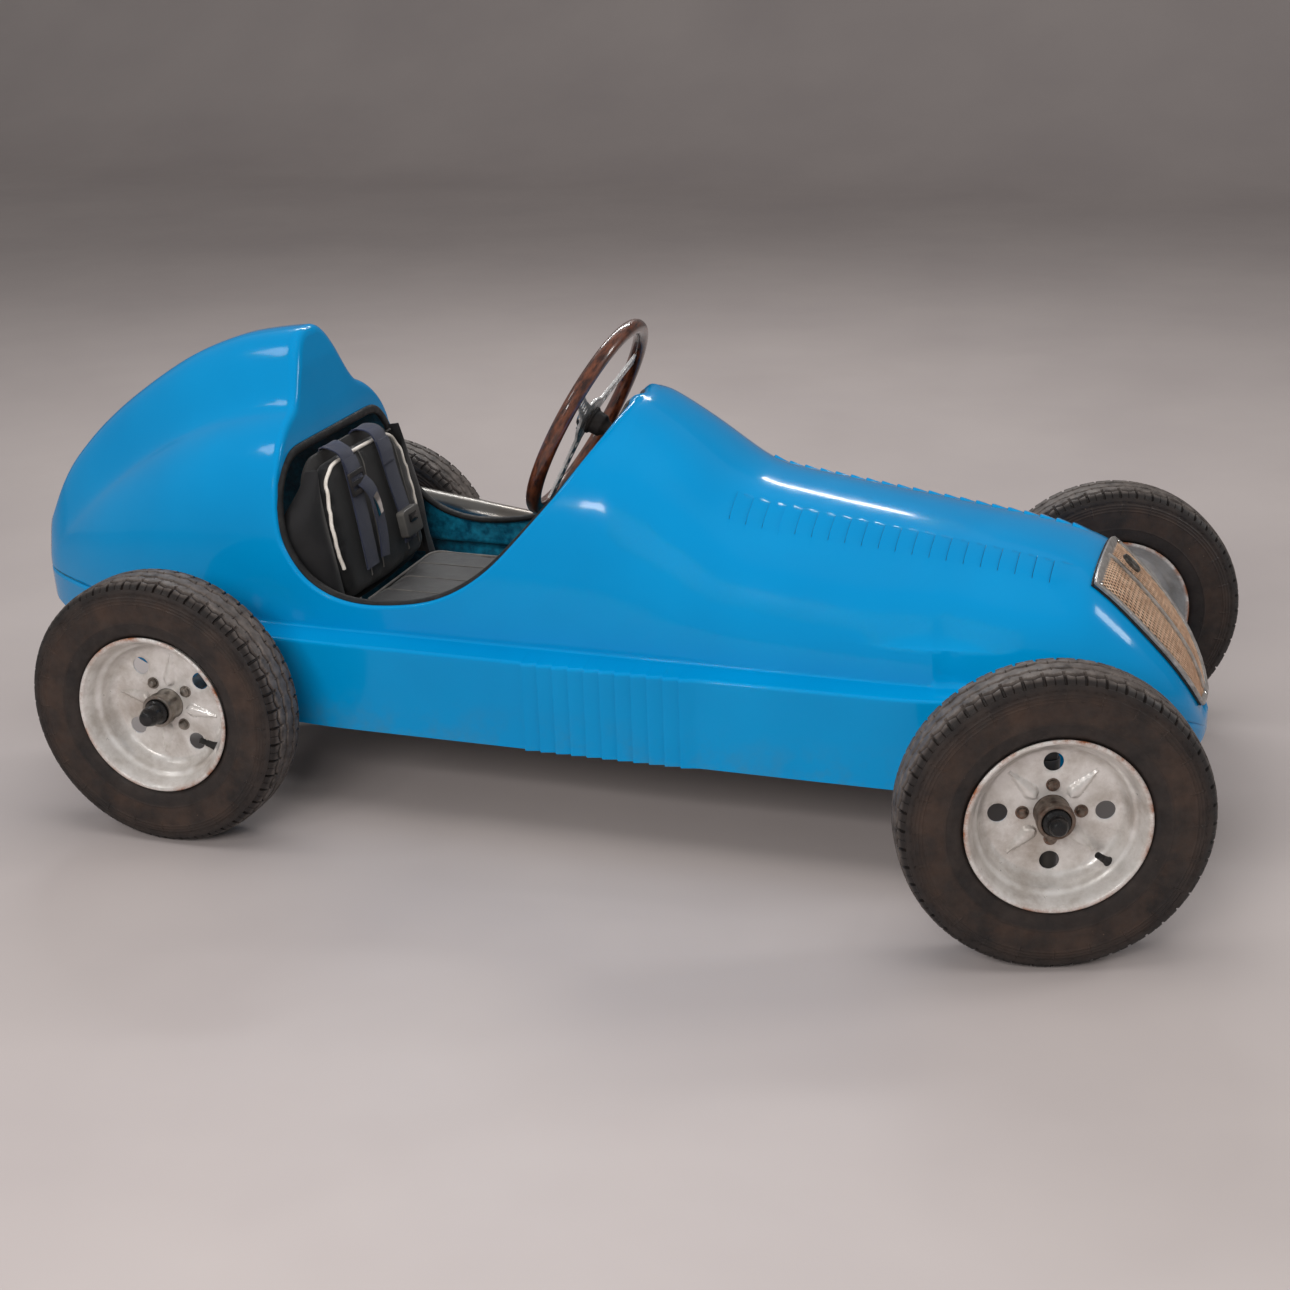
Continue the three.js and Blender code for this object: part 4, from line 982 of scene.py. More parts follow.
# ---------------------------------------------------------------- more materials
def metal_material(name, colour, dark, rough, metallic=1.0, rust=0.0, grain=60, coat=0.0):
    """Metal with smudges, fine scratches and, where rust is over 0, rust that gathers on edges."""
    s = Shade(name, Metallic=metallic, Coat_Weight=coat)
    smudge = s.noise(grain, 5, 0.6)
    shade = s.mix(s.band(smudge, 0.35, 0.7), colour, dark)
    if rust:
        spots = s.band(s.noise(grain * 2.4, 6, 0.7), 0.62 - 0.2 * rust, 0.75)
        spots = s.times(spots, s.band(s.noise(grain * 0.35, 2), 0.35, 0.6))
        spots = s.math("MINIMUM", s.math("ADD", spots, s.times(s.edges(0.52, 0.6), rust)), 1.0)
        shade = s.mix(spots, shade, s.mix(s.noise(grain * 6), rgb(86, 42, 20), rgb(150, 84, 44)))
        s.link(s.band(spots, 0, 1, metallic, 0.1), s.shader.inputs["Metallic"])
        s.roughness(s.band(spots, 0, 1, rough, 0.85))
        s.bump(spots, 0.0004, 0.5)
    else:
        s.roughness(s.band(smudge, 0.3, 0.75, rough * 0.8, rough * 1.35))
    s.colour(shade)
    s.bump(s.noise(700, 2), 0.00006, 0.4)
    return s.material


def enamel_material(name, colour, worn, rough=0.42):
    """Painted steel: soft orange peel, dust in the low grime and worn edges."""
    s = Shade(name, Coat_Weight=0.1, Coat_Roughness=0.3)
    grime = s.noise(24, 6, 0.62)
    shade = s.mix(s.band(grime, 0.45, 0.75), colour, worn)
    shade = s.mix(s.times(s.edges(0.54, 0.62), 0.6), shade, rgb(120, 112, 104))
    s.colour(shade)
    s.roughness(s.band(grime, 0.3, 0.75, rough, rough + 0.3))
    s.bump(s.noise(420, 3), 0.0001, 0.4)
    return s.material


CHROME = metal_material("chrome_plate", rgb(214, 214, 212), rgb(186, 184, 180), 0.14)
BARE_STEEL = metal_material("machined_steel", rgb(172, 166, 158), rgb(120, 112, 104), 0.34, rust=0.18)
RUSTY_STEEL = metal_material("weathered_steel", rgb(150, 140, 130), rgb(96, 82, 72), 0.45, rust=0.6, grain=90)
BLACK_STEEL = enamel_material("black_enamelled_steel", rgb(22, 22, 24), rgb(58, 52, 48))
BLACK_PLASTIC = rubber_material("black_moulded_cap", rgb(14, 14, 15), rgb(30, 29, 29), (0.22, 0.4))


# ---------------------------------------------------------------- wheels
# Built about the hub's centre with the outer face towards -Y
WHEELS = {
    # label: spin at rest, body that it rides on, direction of the valve, length of the cap's dome
    "front_left": (0.4, "wheel_front_left", 200, 15),
    "front_right": (0.0, "wheel_front_right", -42, 15),
    "rear_left": (1.0, "rear_wheels", 110, 26),
    "rear_right": (0.94, "rear_wheels", 21, 26),
}
RIM_FLANGE = 111.5
DISC_Y = 8.0
VENT_CIRCLE, VENT_RADIUS = 64.0, 12.0
BOLT_CIRCLE = 35.0
TREAD_BLOCKS = 48
BLOCK_CUTS = np.array([0, 0.05, 0.09, 0.27, 0.46, 0.5, 0.54, 0.73, 0.91, 0.95])


def wheel_frame(label, spin):
    """Place of a wheel: local -Y outwards, turned about its axle by spin."""
    joint = joints["rear_axle_spin" if "rear" in label else label + "_spin"]
    side = 1 if label.endswith("left") else -1
    y_axis = Vector(joint["axis"]) * -side
    z_axis = Vector((0, 0, 1))
    turn = Matrix((y_axis.cross(z_axis), y_axis, z_axis)).transposed().to_4x4()
    return Matrix.Translation(middle("tyre_" + label)) @ turn @ Matrix.Rotation(spin, 4, "Y")


def tyre_profile():
    """Half of the tyre's section from the outer bead to the crown, as (radius, y)."""
    guide = np.array([
        [112, -33.5], [115, -36.5], [121, -39.5], [131, -41.6], [145, -42.6], [158, -42.9], [168, -41.6],
        [175, -39.6], [180, -37.3], [184, -33.8], [187, -28], [188.4, -20], [189, -8], [189, 0],
    ])
    curve = catmull(guide, 30)
    run = run_along(curve)
    samples = np.concatenate([np.arange(0, 58, 1.45), np.arange(58, run[-1], 1.15), [run[-1]]])
    return np.column_stack([np.interp(samples, run, curve[:, k]) for k in (0, 1)])


def groove(value, centre, half):
    """1 on a groove's floor, falling to 0 over its walls."""
    return np.interp(np.abs(value - centre), [half - 0.6, half + 0.7], [1, 0])


def tyre_relief(radius, y, share, block):
    """How far the rubber stands in or out of the section, by place across and share of a tread block."""
    across = np.abs(y)
    zigzag = 1.7 * (1 - 4 * np.abs(share - 0.5))
    cut = np.interp(share, [0, 0.05, 0.09, 0.91, 0.95, 1], [1, 1, 0, 0, 1, 1])
    sipe = np.interp(share, [0.46, 0.5, 0.54], [0, 1, 0])
    on_tread = radius > 179
    outer = groove(across, 25.5 + zigzag, 1.7)
    inner = groove(across, 9.5 - zigzag, 1.6)
    shoulder = np.where(across > 26, np.maximum(cut, 0.3 * sipe), 0)
    notch = np.where((across < 26) & (across > 18.5), cut, 0)
    notch = notch + np.where((across < 13) & (across > 5), sipe, 0)
    depth = np.maximum.reduce([outer, inner, shoulder, 0.75 * np.clip(notch, 0, 1)]) * on_tread
    relief = -4.0 * depth
    ribs = sum(np.exp(-((radius - r) / 0.75) ** 2) for r in (160.5, 164.5, 168.5))
    relief += 0.9 * ribs + 0.6 * np.exp(-((radius - 133) / 0.9) ** 2)
    tick = np.where((block % 2 == 0) & (share < 0.06), 1.0, 0.0)
    relief += 0.9 * tick * ((radius > 156) & (radius < 171))
    ragged = 172.6 + 0.9 * np.sin(6 * math.pi * share) + 0.3 * np.sin(2.3 * block)
    relief += 1.1 * ((radius > ragged) & (radius < 179.2))
    relief -= 0.9 * np.exp(-((radius - ragged) / 0.8) ** 2)
    return relief


def tyre_shape():
    half = tyre_profile()
    profile = np.vstack([half, half[-2::-1] * (1, -1)])
    slope = np.gradient(profile, axis=0)
    normal = np.column_stack([-slope[:, 1], slope[:, 0]])
    normal /= np.linalg.norm(normal, axis=1, keepdims=True)
    normal *= np.sign((normal * (profile - (150, 0))).sum(1, keepdims=True))
    share = np.tile(BLOCK_CUTS, TREAD_BLOCKS)
    block = np.repeat(np.arange(TREAD_BLOCKS), len(BLOCK_CUTS))
    relief = tyre_relief(profile[:, :1], profile[:, 1:], share[None, :], block[None, :])
    radius = profile[:, :1] + normal[:, :1] * relief
    y = profile[:, 1:] + normal[:, 1:] * relief
    turn = 2 * math.pi * (block + share) / TREAD_BLOCKS
    inside = np.array([[107.5, 28], [107.5, -28]])
    radius = np.vstack([radius, np.repeat(inside[:, :1], len(turn), 1)])
    y = np.vstack([y, np.repeat(inside[:, 1:], len(turn), 1)])
    points = np.stack([radius * np.cos(turn), y, radius * np.sin(turn)], axis=-1)
    return points.reshape(-1, 3), ring_faces(len(radius), len(turn), closed=True)


def teardrops(verts):
    """Raises the four teardrop ribs between the vent holes and turns in the lips of the holes."""
    x, y, z = verts[..., 0], verts[..., 1].copy(), verts[..., 2]
    on_disc = np.abs(y - DISC_Y) < 4
    for k in range(4):
        turn = math.pi / 2 * k
        along = x * math.cos(turn + math.pi / 4) + z * math.sin(turn + math.pi / 4)
        beside = -x * math.sin(turn + math.pi / 4) + z * math.cos(turn + math.pi / 4)
        past = np.clip((along - 38) / 36, 0, 1)
        round_end = np.sqrt(np.clip(9.5 ** 2 - (38 - along) ** 2, 0, None))
        half = np.where(along > 38, 9.5 * (1 - past) ** 0.75, round_end)
        inside = np.clip(1 - (beside / np.maximum(half, 0.3)) ** 2, 0, 1) * (along > 28) * (along < 74)
        y -= 6.5 * (1 - 0.7 * past) * inside ** 0.8 * on_disc
        vent = np.hypot(x - VENT_CIRCLE * math.cos(turn), z - VENT_CIRCLE * math.sin(turn))
        y += 1.3 * np.clip((VENT_RADIUS + 4 - vent) / 4, 0, 1) ** 2 * on_disc
    return np.stack([x, y, z], axis=-1)


def rim_shape():
    outer = rounded([
        [105, -33.2], [110.5, -34.6], [RIM_FLANGE, -37.2], [109.5, -39], [106, -38.4], [102.5, -33],
        [99.5, -26], [97, -19], [91.5, -14], [89.5, -4], [86, 3], [81, DISC_Y - 0.6],
    ], 3.0, 3)
    disc = np.column_stack([np.arange(79, 22, -1.6), np.full(36, DISC_Y)])
    back = rounded([
        [22, DISC_Y], [22, DISC_Y + 2.4], [82, DISC_Y + 2.4], [90, 14], [97, 27], [102.5, 33], [106, 38.4],
        [109.5, 39], [RIM_FLANGE, 37.2], [110.5, 34.6], [105, 33.2], [105, -33.2],
    ], 2.0, 2)
    return turned(np.vstack([outer, disc, back]), 160, teardrops)


def build_rim():
    rim = piece("rim", rim_shape(), WHEEL_SILVER, Matrix.Identity(4), 32)
    vents = []
    for k in range(4):
        turn = math.pi / 2 * k
        x, z = VENT_CIRCLE * math.cos(turn), VENT_CIRCLE * math.sin(turn)
        vents.append(rod((x, -6, z), (x, 22, z), VENT_RADIUS, 32))
    return drilled(rim, vents, Matrix.Identity(4))


def hub_shape(inner_end):
    """Turned barrel with its flange, open at the outer end."""
    barrel = rounded([
        [19, inner_end], [20, inner_end - 1], [20, 17], [46, 17], [46, 11.4], [21.5, 11.4], [21.5, -9],
        [23, -11], [23, -22], [21.5, -24], [18, -24], [17, -18], [11.6, -17], [11.6, inner_end],
        [19, inner_end],
    ], 0.8, 2)
    return turned(barrel, 64)


def bolt_shapes():
    """Washer and domed head of each wheel bolt."""
    shapes = []
    for k in range(4):
        turn = math.pi / 2 * k
        x, z = BOLT_CIRCLE * math.cos(turn), BOLT_CIRCLE * math.sin(turn)
        washer = rounded([[0, 11], [8.2, 11], [8.2, 6.2], [0, 6.2]], 0.5)
        head = rounded([[0, 6.4], [6.4, 6.4], [6.2, 3.0], [4.4, 0.6], [0, -0.4]], 1.6)
        for profile in (washer, head):
            points, faces = turned(profile, 28)
            shapes.append((points + (x, 0, z), faces))
    return merged(*shapes)


def cap_shape(length):
    """Domed rubber cap on its skirt, seated in the mouth of the hub."""
    radius = 13.5 if length > 20 else 11.5
    profile = rounded([
        [0, -18.5], [16.8, -18.5], [16.8, -26.5], [radius + 1.2, -28.5], [radius, -31],
        [radius * 0.98, -31 - length * 0.5], [radius * 0.7, -31 - length * 0.88], [0, -31 - length],
    ], 2.2, 3)
    return turned(profile, 40)


def valve_shape(direction):
    """Rubber valve stem standing in from the rim's barrel."""
    turn = math.radians(direction)
    out = np.array([math.cos(turn), 0, math.sin(turn)])
    tip, root = out * 69 + (0, -17, 0), out * 92.5 + (0, -6, 0)
    shares = np.array([0, 0.02, 0.3, 0.32, 0.36, 0.38, 0.62, 0.82, 1.0])
    sizes = np.array([3.0, 4.0, 4.0, 3.3, 3.3, 4.3, 4.5, 5.6, 7.5])
    path = tip + (root - tip) * shares[:, None]
    return swept(path, circle(1.0, 20), (0, 1, 0), scale=sizes)


def wheel_silver_material():
    """Silver wheel paint with rust along the flange's edge and grime in the barrel."""
    s = Shade("wheel_silver_paint", Metallic=0.75, Coat_Weight=0.15, Coat_Roughness=0.2)
    x, _, z = s.parts()
    radius = s.from_axis(x, z)
    smudge = s.noise(38, 6, 0.62)
    shade = s.mix(s.band(smudge, 0.38, 0.7), rgb(226, 222, 218), rgb(196, 190, 183))
    grime = s.times(s.band(s.noise(16, 6, 0.7), 0.5, 0.72), 0.5)
    shade = s.mix(grime, shade, rgb(138, 118, 100))
    at_edge = s.band(radius, 0.1035, 0.1108)
    patchy = s.band(s.noise(44, 6, 0.72), 0.44, 0.62)
    rust = s.times(at_edge, patchy)
    pits = s.times(s.band(s.noise(190, 3, 0.6), 0.7, 0.76), s.band(s.noise(20, 2), 0.5, 0.62))
    rust = s.math("MINIMUM", s.math("ADD", rust, s.times(pits, 0.7)), 1.0)
    shade = s.mix(rust, shade, s.mix(s.noise(300), rgb(98, 48, 24), rgb(168, 104, 62)))
    s.colour(shade)
    s.link(s.band(rust, 0, 1, 0.5, 0.05), s.shader.inputs["Metallic"])
    s.roughness(s.math("ADD", s.band(smudge, 0.3, 0.7, 0.27, 0.42), s.times(rust, 0.45)))
    s.bump(s.noise(520, 3), 0.00008, 0.5)
    s.bump(rust, 0.0003, 0.5)
    return s.material


def tyre_material():
    """Old tyre rubber: grey tread, brown dust on the sidewall, darker next to the rim."""
    s = Shade("tyre_rubber")
    x, _, z = s.parts()
    radius = s.from_axis(x, z)
    shade = s.mix(s.band(s.noise(30, 6, 0.65), 0.35, 0.7), rgb(27, 23, 22), rgb(46, 38, 34))
    wall = s.times(s.band(radius, 0.130, 0.136), s.band(radius, 0.176, 0.160))
    stain = s.times(wall, s.band(s.noise(13, 6, 0.7), 0.40, 0.72))
    shade = s.mix(s.times(stain, 0.65), shade, rgb(74, 54, 42))
    tread = s.band(radius, 0.1835, 0.1875)
    shade = s.mix(s.times(tread, s.band(s.noise(70, 5), 0.25, 0.7)), shade, rgb(98, 90, 85))
    deep = s.times(s.band(radius, 0.1855, 0.183), s.band(radius, 0.1775, 0.1815))
    shade = s.mix(s.times(deep, 0.6), shade, rgb(20, 17, 16))
    specks = s.times(s.band(s.cells(150), 0.0, 0.12, 1, 0), s.band(s.noise(40), 0.62, 0.7))
    shade = s.mix(specks, shade, rgb(150, 128, 110))
    s.colour(shade)
    s.roughness(s.band(s.noise(90, 4), 0.3, 0.7, 0.48, 0.72))
    s.bump(s.noise(620, 4, 0.6), 0.0005, 0.5)
    s.bump(s.noise(90, 3), 0.0012, 0.25)
    return s.material


WHEEL_SILVER = wheel_silver_material()
TYRE_RUBBER = tyre_material()
VALVE_RUBBER = rubber_material("valve_rubber", rgb(18, 18, 18), rgb(46, 43, 41))


def shared_copy(source, name, matrix):
    """Another object with the same mesh."""
    obj = bpy.data.objects.new(name, source.data)
    bpy.context.scene.collection.objects.link(obj)
    obj.matrix_world = matrix
    return obj


def add_wheels():
    tyre_source = piece("tyre", tyre_shape(), TYRE_RUBBER, Matrix.Identity(4), 38)
    rim_source = build_rim()
    bolts_source = piece("bolts", bolt_shapes(), RUSTY_STEEL, Matrix.Identity(4))
    for label, (spin, body, valve, dome) in WHEELS.items():
        frame_here = wheel_frame(label, spin)
        straight = wheel_frame(label, 0)
        tyre = shared_copy(tyre_source, "tyre_tread_" + label, straight)
        finish_piece(tyre, body, "tyre_rubber", "tyre_" + label)
        rim = shared_copy(rim_source, "rim_pressing_" + label, frame_here)
        finish_piece(rim, body, "wheel_paint", "rim_" + label)
        inner_end, hub_metal = (34, BARE_STEEL) if dome > 20 else (24, RUSTY_STEEL)
        hub = piece("hub_barrel_" + label, hub_shape(inner_end), hub_metal, frame_here)
        finish_piece(hub, body, "bare_steel", "hub_" + label)
        bolts = shared_copy(bolts_source, "wheel_bolts_" + label, frame_here)
        if dome > 20:
            bolts.data = bolts_source.data.copy()
            bolts.data.materials[0] = BARE_STEEL
        finish_piece(bolts, body, "bare_steel")
        cap = piece("hub_dome_" + label, cap_shape(dome), BLACK_PLASTIC, frame_here)
        finish_piece(cap, body, "black_plastic", "hub_cap_" + label)
        stem = piece("valve_stem_" + label, valve_shape(valve), VALVE_RUBBER, frame_here)
        finish_piece(stem, body, "black_rubber")
    for source in (tyre_source, rim_source, bolts_source):
        bpy.data.objects.remove(source)


add_wheels()


# ---------------------------------------------------------------- cockpit edging
def cockpit_edge_paths():
    """Half of the flange's end, from the cowl round to the middle of the rear, and its direction."""
    _, side, _, _, normal = lip_and_face(half_skin(False))
    stop = side[:, -1]
    keep = stop[:, 2] < FACE_FOOT_Z
    keep |= stop[:, 0] > -400
    path, lean = stop[keep][::-1], -normal[keep][::-1]
    across = path[-1, 1] * np.linspace(0.93, 0, 12)
    crossing = np.column_stack([np.full(12, path[-1, 0] + 1.0), across, np.full(12, FACE_FOOT_Z)])
    return path, lean, crossing


def add_cockpit_trim():
    path, lean, crossing = cockpit_edge_paths()
    half = np.vstack([path, crossing])
    hints = np.vstack([lean, np.tile([0, 0, -1.0], (len(crossing), 1))])
    full = np.vstack([half, half[-2:0:-1] * (1, -1, 1)])
    full_hints = np.vstack([hints, hints[-2:0:-1] * (1, -1, 1)])
    closed = np.vstack([full, full[:1]])
    run = run_along(closed)
    samples = np.linspace(0, run[-1], 260, endpoint=False)
    closed_hints = np.vstack([full_hints, full_hints[:1]])
    even = np.column_stack([np.interp(samples, run, closed[:, k]) for k in range(3)])
    lean_even = np.column_stack([np.interp(samples, run, closed_hints[:, k]) for k in range(3)])
    for _ in range(6):
        even = (np.roll(even, 1, 0) + 2 * even + np.roll(even, -1, 0)) / 4
        lean_even = (np.roll(lean_even, 1, 0) + 2 * lean_even + np.roll(lean_even, -1, 0)) / 4
    turn = np.linspace(0, 2 * math.pi, 14, endpoint=False)
    section = np.column_stack([-2.2 + 6.6 * np.cos(turn), 4.6 * np.sin(turn)])
    bead = piece("cockpit_edging", swept(even, section, lean_even, closed=True), TRIM_RUBBER, angle=50)
    finish_piece(bead, "chassis", "black_rubber", "cockpit_trim")


add_cockpit_trim()


# ---------------------------------------------------------------- steering
STEERING_RADIUS, STEERING_TUBE = 142.0, 10.5
SPOKE_HALF, SPOKE_HOLES = 13.0, 5
COLUMN_LENGTH = 722.0


def column_frame():
    """Centre of the steering wheel, local +X down the column and +Z up along the wheel's face."""
    down = Vector(joints["steering_turn"]["axis"])
    if down.z > 0:
        down = -down
    y_axis = Vector((0, 1, 0))
    turn = Matrix((down, y_axis, down.cross(y_axis))).transposed().to_4x4()
    return Matrix.Translation(middle("steering_rim")) @ turn


def wood_material():
    """Dark varnished wood with its grain running round the rim."""
    s = Shade("rim_wood", Coat_Weight=0.8, Coat_Roughness=0.06)
    x, y, z = s.parts()
    angle = s.math("ARCTAN2", z, y)
    radius = s.from_axis(y, z)
    join = s.nodes.new("ShaderNodeCombineXYZ")
    s.feed(join, {0: s.times(angle, 0.05), 1: radius, 2: x})
    where = join.outputs[0]
    grain = s.noise(150, 5, 0.65, where)
    fine = s.noise(700, 3, 0.6, where)
    shade = s.mix(s.band(grain, 0.38, 0.62), rgb(40, 17, 10), rgb(98, 52, 30))
    shade = s.mix(s.times(s.band(fine, 0.5, 0.7), 0.45), shade, rgb(26, 11, 7))
    s.colour(shade)
    s.roughness(s.band(grain, 0.3, 0.7, 0.26, 0.4))
    s.bump(fine, 0.0001, 0.3)
    return s.material


def spider_outlines():
    """Centre disc with three spokes, drilled along their length, in the plane of the wheel."""
    outline, holes = [], []
    hub, end = 31.0, STEERING_RADIUS - STEERING_TUBE + 3
    half_turn = math.asin(SPOKE_HALF / hub)
    for k in range(3):
        turn = -math.pi / 2 + k * 2 * math.pi / 3
        out, beside = (math.cos(turn), math.sin(turn)), (-math.sin(turn), math.cos(turn))

        def at(along, aside):
            return (out[0] * along + beside[0] * aside, out[1] * along + beside[1] * aside)

        widths = [(hub * math.cos(half_turn) + 6, 11.5), (78, 8.6), (end - 8, 9.5), (end, 12)]
        outline += [at(start, -width) for start, width in widths]
        outline += [at(start, width) for start, width in widths[::-1]]
        for step in np.linspace(0.2, 0.8, 7):
            arc = turn + half_turn + step * (2 * math.pi / 3 - 2 * half_turn)
            outline.append((hub * math.cos(arc), hub * math.sin(arc)))
        for i in range(SPOKE_HOLES):
            size = 5.2 - 0.35 * abs(i - 1)
            holes.append(circle(size, 28) + at(44 + 17.5 * i, 0))
    return [outline] + holes


SPOKE_ALLOY = metal_material("spoke_alloy", rgb(224, 223, 222), rgb(176, 174, 172), 0.28, 0.4, grain=90)


def along_x(shape):
    """A shape turned about local Y laid along local X, with its -Y end towards -X."""
    points, faces = shape
    return points[:, [1, 0, 2]] * (1, 1, -1), faces


def add_steering():
    frame_here = column_frame()
    path = np.column_stack([np.zeros(120), circle(STEERING_RADIUS, 120)])
    grip = swept(path, circle(STEERING_TUBE, 24), (1, 0, 0), closed=True)
    rim = piece("steering_rim_wood", grip, wood_material(), frame_here, 60)
    finish_piece(rim, "steering", "rim_wood", "steering_rim")
    face_turn = Matrix(((0, 0, 1, 0), (1, 0, 0, 0), (0, 1, 0, 0), (0, 0, 0, 1)))
    in_face = frame_here @ Matrix.Translation((0.5 * MM, 0, 0)) @ face_turn
    spider = plate("steering_spider", spider_outlines(), 4.0, SPOKE_ALLOY, in_face, 0.6)
    finish_piece(spider, "steering", "polished_alloy", "steering_spokes")
    boss = rounded([[0, -12], [9, -12], [11, -10.5], [14.5, -10.5], [16.8, -8], [17, -3], [0, -3]], 1.4)
    centre = piece("steering_centre_cap", along_x(turned(boss, 48)), CHROME, frame_here)
    finish_piece(centre, "steering", "chrome", "steering_boss")
    screws = []
    for k in range(6):
        angle = math.pi / 3 * k + math.pi / 6
        y, z = 23.5 * math.cos(angle), 23.5 * math.sin(angle)
        head = rounded([[0, -4.3], [2.6, -4.3], [3.4, -3.2], [3.4, -1.6], [0, -1.6]], 0.6)
        points, faces = along_x(turned(head, 16))
        screws.append((points + (0, y, z), faces))
    studs = piece("steering_screws", merged(*screws), CHROME, frame_here)
    finish_piece(studs, "steering", "chrome")
    hub = rounded([
        [0, 5.3], [20, 5.3], [20, 9], [17, 11], [16, 24], [12, 28], [9, 34], [9, COLUMN_LENGTH - 1],
        [8, COLUMN_LENGTH], [0, COLUMN_LENGTH],
    ], 1.6)
    column = piece("steering_shaft", along_x(turned(hub, 40)), BLACK_STEEL, frame_here)
    finish_piece(column, "steering", "black_steel", "steering_column")


add_steering()


# ---------------------------------------------------------------- grille
# x, z and half-width of the opening from its top to the tip of the nose
GRILLE = np.array([
    [608, 399, 99], [636, 371, 97], [677, 327, 91], [714, 281, 76], [737, 239, 54], [748, 204, 27],
], float)
GRILLE_CURVE = catmull(GRILLE, 12)


def nose_height(x, y):
    flank, foot, top, power = upper_section(x)
    out = np.minimum(np.abs(y) / flank, 0.98)
    return foot + (top - foot) * (1 - out ** power) ** (1 / power)


def on_grille(along, share, stand=0.0):
    """Point over the nose: along it from 0 to 1 at the tip, share of the half-width, height above."""
    at = np.asarray(along, float) * (len(GRILLE_CURVE) - 1)
    x, half = (np.interp(at, np.arange(len(GRILLE_CURVE)), GRILLE_CURVE[:, k]) for k in (0, 2))
    y = half * share
    return np.stack([x + stand, y, nose_height(x, y) + stand * 0.8], axis=-1)


def grille_band(outline, width, height, stand, closed=True):
    """Rounded strip along (along, share) points over the nose."""
    following = outline[1:] + (outline[:1] if closed else [])
    fine = np.vstack([np.linspace(a, b, 14, endpoint=False) for a, b in zip(outline, following)])
    path = on_grille(fine[:, 0], fine[:, 1], stand)
    h, w = height / 2, width / 2
    section = rounded([(h, -w), (h, w), (-h, w), (-h, -w)], 1.2, 2, closed=True)
    return swept(path, section, (1, 0, 0.8), closed)


def gauze_material():
    """Weathered bronze-tan expanded metal."""
    s = Shade("grille_gauze", Metallic=0.35)
    shade = s.mix(s.band(s.noise(90, 5), 0.35, 0.7), rgb(236, 204, 176), rgb(196, 158, 128))
    s.colour(s.mix(s.band(s.noise(30, 4), 0.5, 0.8, 0.0, 0.35), shade, rgb(140, 98, 70)))
    s.roughness(s.band(s.noise(120, 3), 0.3, 0.7, 0.32, 0.55))
    return s.material


def gauze_shape():
    """Two families of flat slanting wires over the nose."""
    strands = []
    reach, pitch = 1.9, 0.047
    half = np.array([(0.5, 0.8), (0.5, -0.8), (-0.5, -0.8), (-0.5, 0.8)])
    for slant in (-1, 1):
        for start in np.arange(-reach, reach, pitch):
            across = np.linspace(-0.9, 0.9, 44)
            along = start + slant * across * 0.62 + 0.5
            inside = (along > 0.03) & (along < 0.985)
            if inside.sum() < 3:
                continue
            lift = 2.7 + 0.35 * slant
            path = on_grille(along[inside], across[inside], lift)
            strands.append(swept(path, half, (1, 0, 0.8)))
    return merged(*strands)


def shade_sheet_shape():
    """Thin closed sheet under the wires, near black: painted shade for the dark inside of the nose."""
    rows, lines = 40, 30
    count = rows * lines
    along, share = np.linspace(0.01, 0.99, rows), np.linspace(-0.95, 0.95, lines)
    front = on_grille(*np.meshgrid(along, share, indexing="ij"), 1.0).reshape(-1, 3)
    index = np.arange(count).reshape(rows, lines)
    quads = grid_faces(index).tolist() + grid_faces(index + count, flip=True).tolist()
    border = np.concatenate([index[0], index[1:, -1], index[-1, -2::-1], index[-2:0:-1, 0]]).tolist()
    quads += [(a, b, b + count, a + count) for a, b in zip(border, border[1:] + border[:1])]
    return np.vstack([front, front - (0.6, 0, 0.5)]), quads


def add_grille():
    outline = [(0.02, -0.965), (0.02, 0.965), (0.97, 0.93), (0.985, 0.0), (0.97, -0.93)]
    frame_band = grille_band(outline, 9.5, 4.6, 3.6)
    top_band = grille_band([(0.035, -0.93), (0.035, 0.93)], 15.0, 3.6, 3.0, closed=False)
    bar = grille_band([(0.03, 0.0), (0.985, 0.0)], 5.5, 4.0, 4.8, closed=False)
    skirt = [(0.0, -1.0), (0.0, 1.0), (0.97, 1.0), (0.995, 0.0), (0.97, -1.0)]
    gasket = piece("grille_gasket", grille_band(skirt, 4.5, 2.4, 1.2), TRIM_RUBBER, angle=50)
    finish_piece(gasket, "chassis", "black_rubber")
    surround = piece("grille_surround", merged(frame_band, top_band, bar), GRILLE_ALLOY, angle=40)
    finish_piece(surround, "chassis", "chrome", "grille_frame")
    behind = piece("grille_shade_sheet", shade_sheet_shape(), GRILLE_SHADE_SHEET, angle=60)
    finish_piece(behind, "chassis", "grille_gauze")
    gauze = piece("grille_gauze", gauze_shape(), gauze_material(), angle=20)
    finish_piece(gauze, "chassis", "grille_gauze", "grille_mesh")
    screws = []
    for along_at, share_at in ((0.045, -0.93), (0.045, 0.93), (0.965, 0.0)):
        at = on_grille(along_at, share_at, 5.0)
        ahead = np.array([0.62, 0, 0.78])
        stem = np.array([at - ahead * 2, at + ahead * 1.0, at + ahead * 1.9])
        screws.append(swept(stem, circle(3.4, 16), (0, 1, 0), scale=[1, 1, 0.55]))
    heads = piece("grille_screws", merged(*screws), CHROME)
    finish_piece(heads, "chassis", "chrome")


# near-black sheet behind the mesh: painted shade in place of the dark inside of the nose
GRILLE_SHADE_SHEET = enamel_material("grille_shade_sheet", rgb(10, 8, 7), rgb(24, 17, 13), 0.8)
GRILLE_ALLOY = metal_material("grille_alloy", rgb(198, 194, 190), rgb(142, 138, 134), 0.32, 0.7, grain=80)


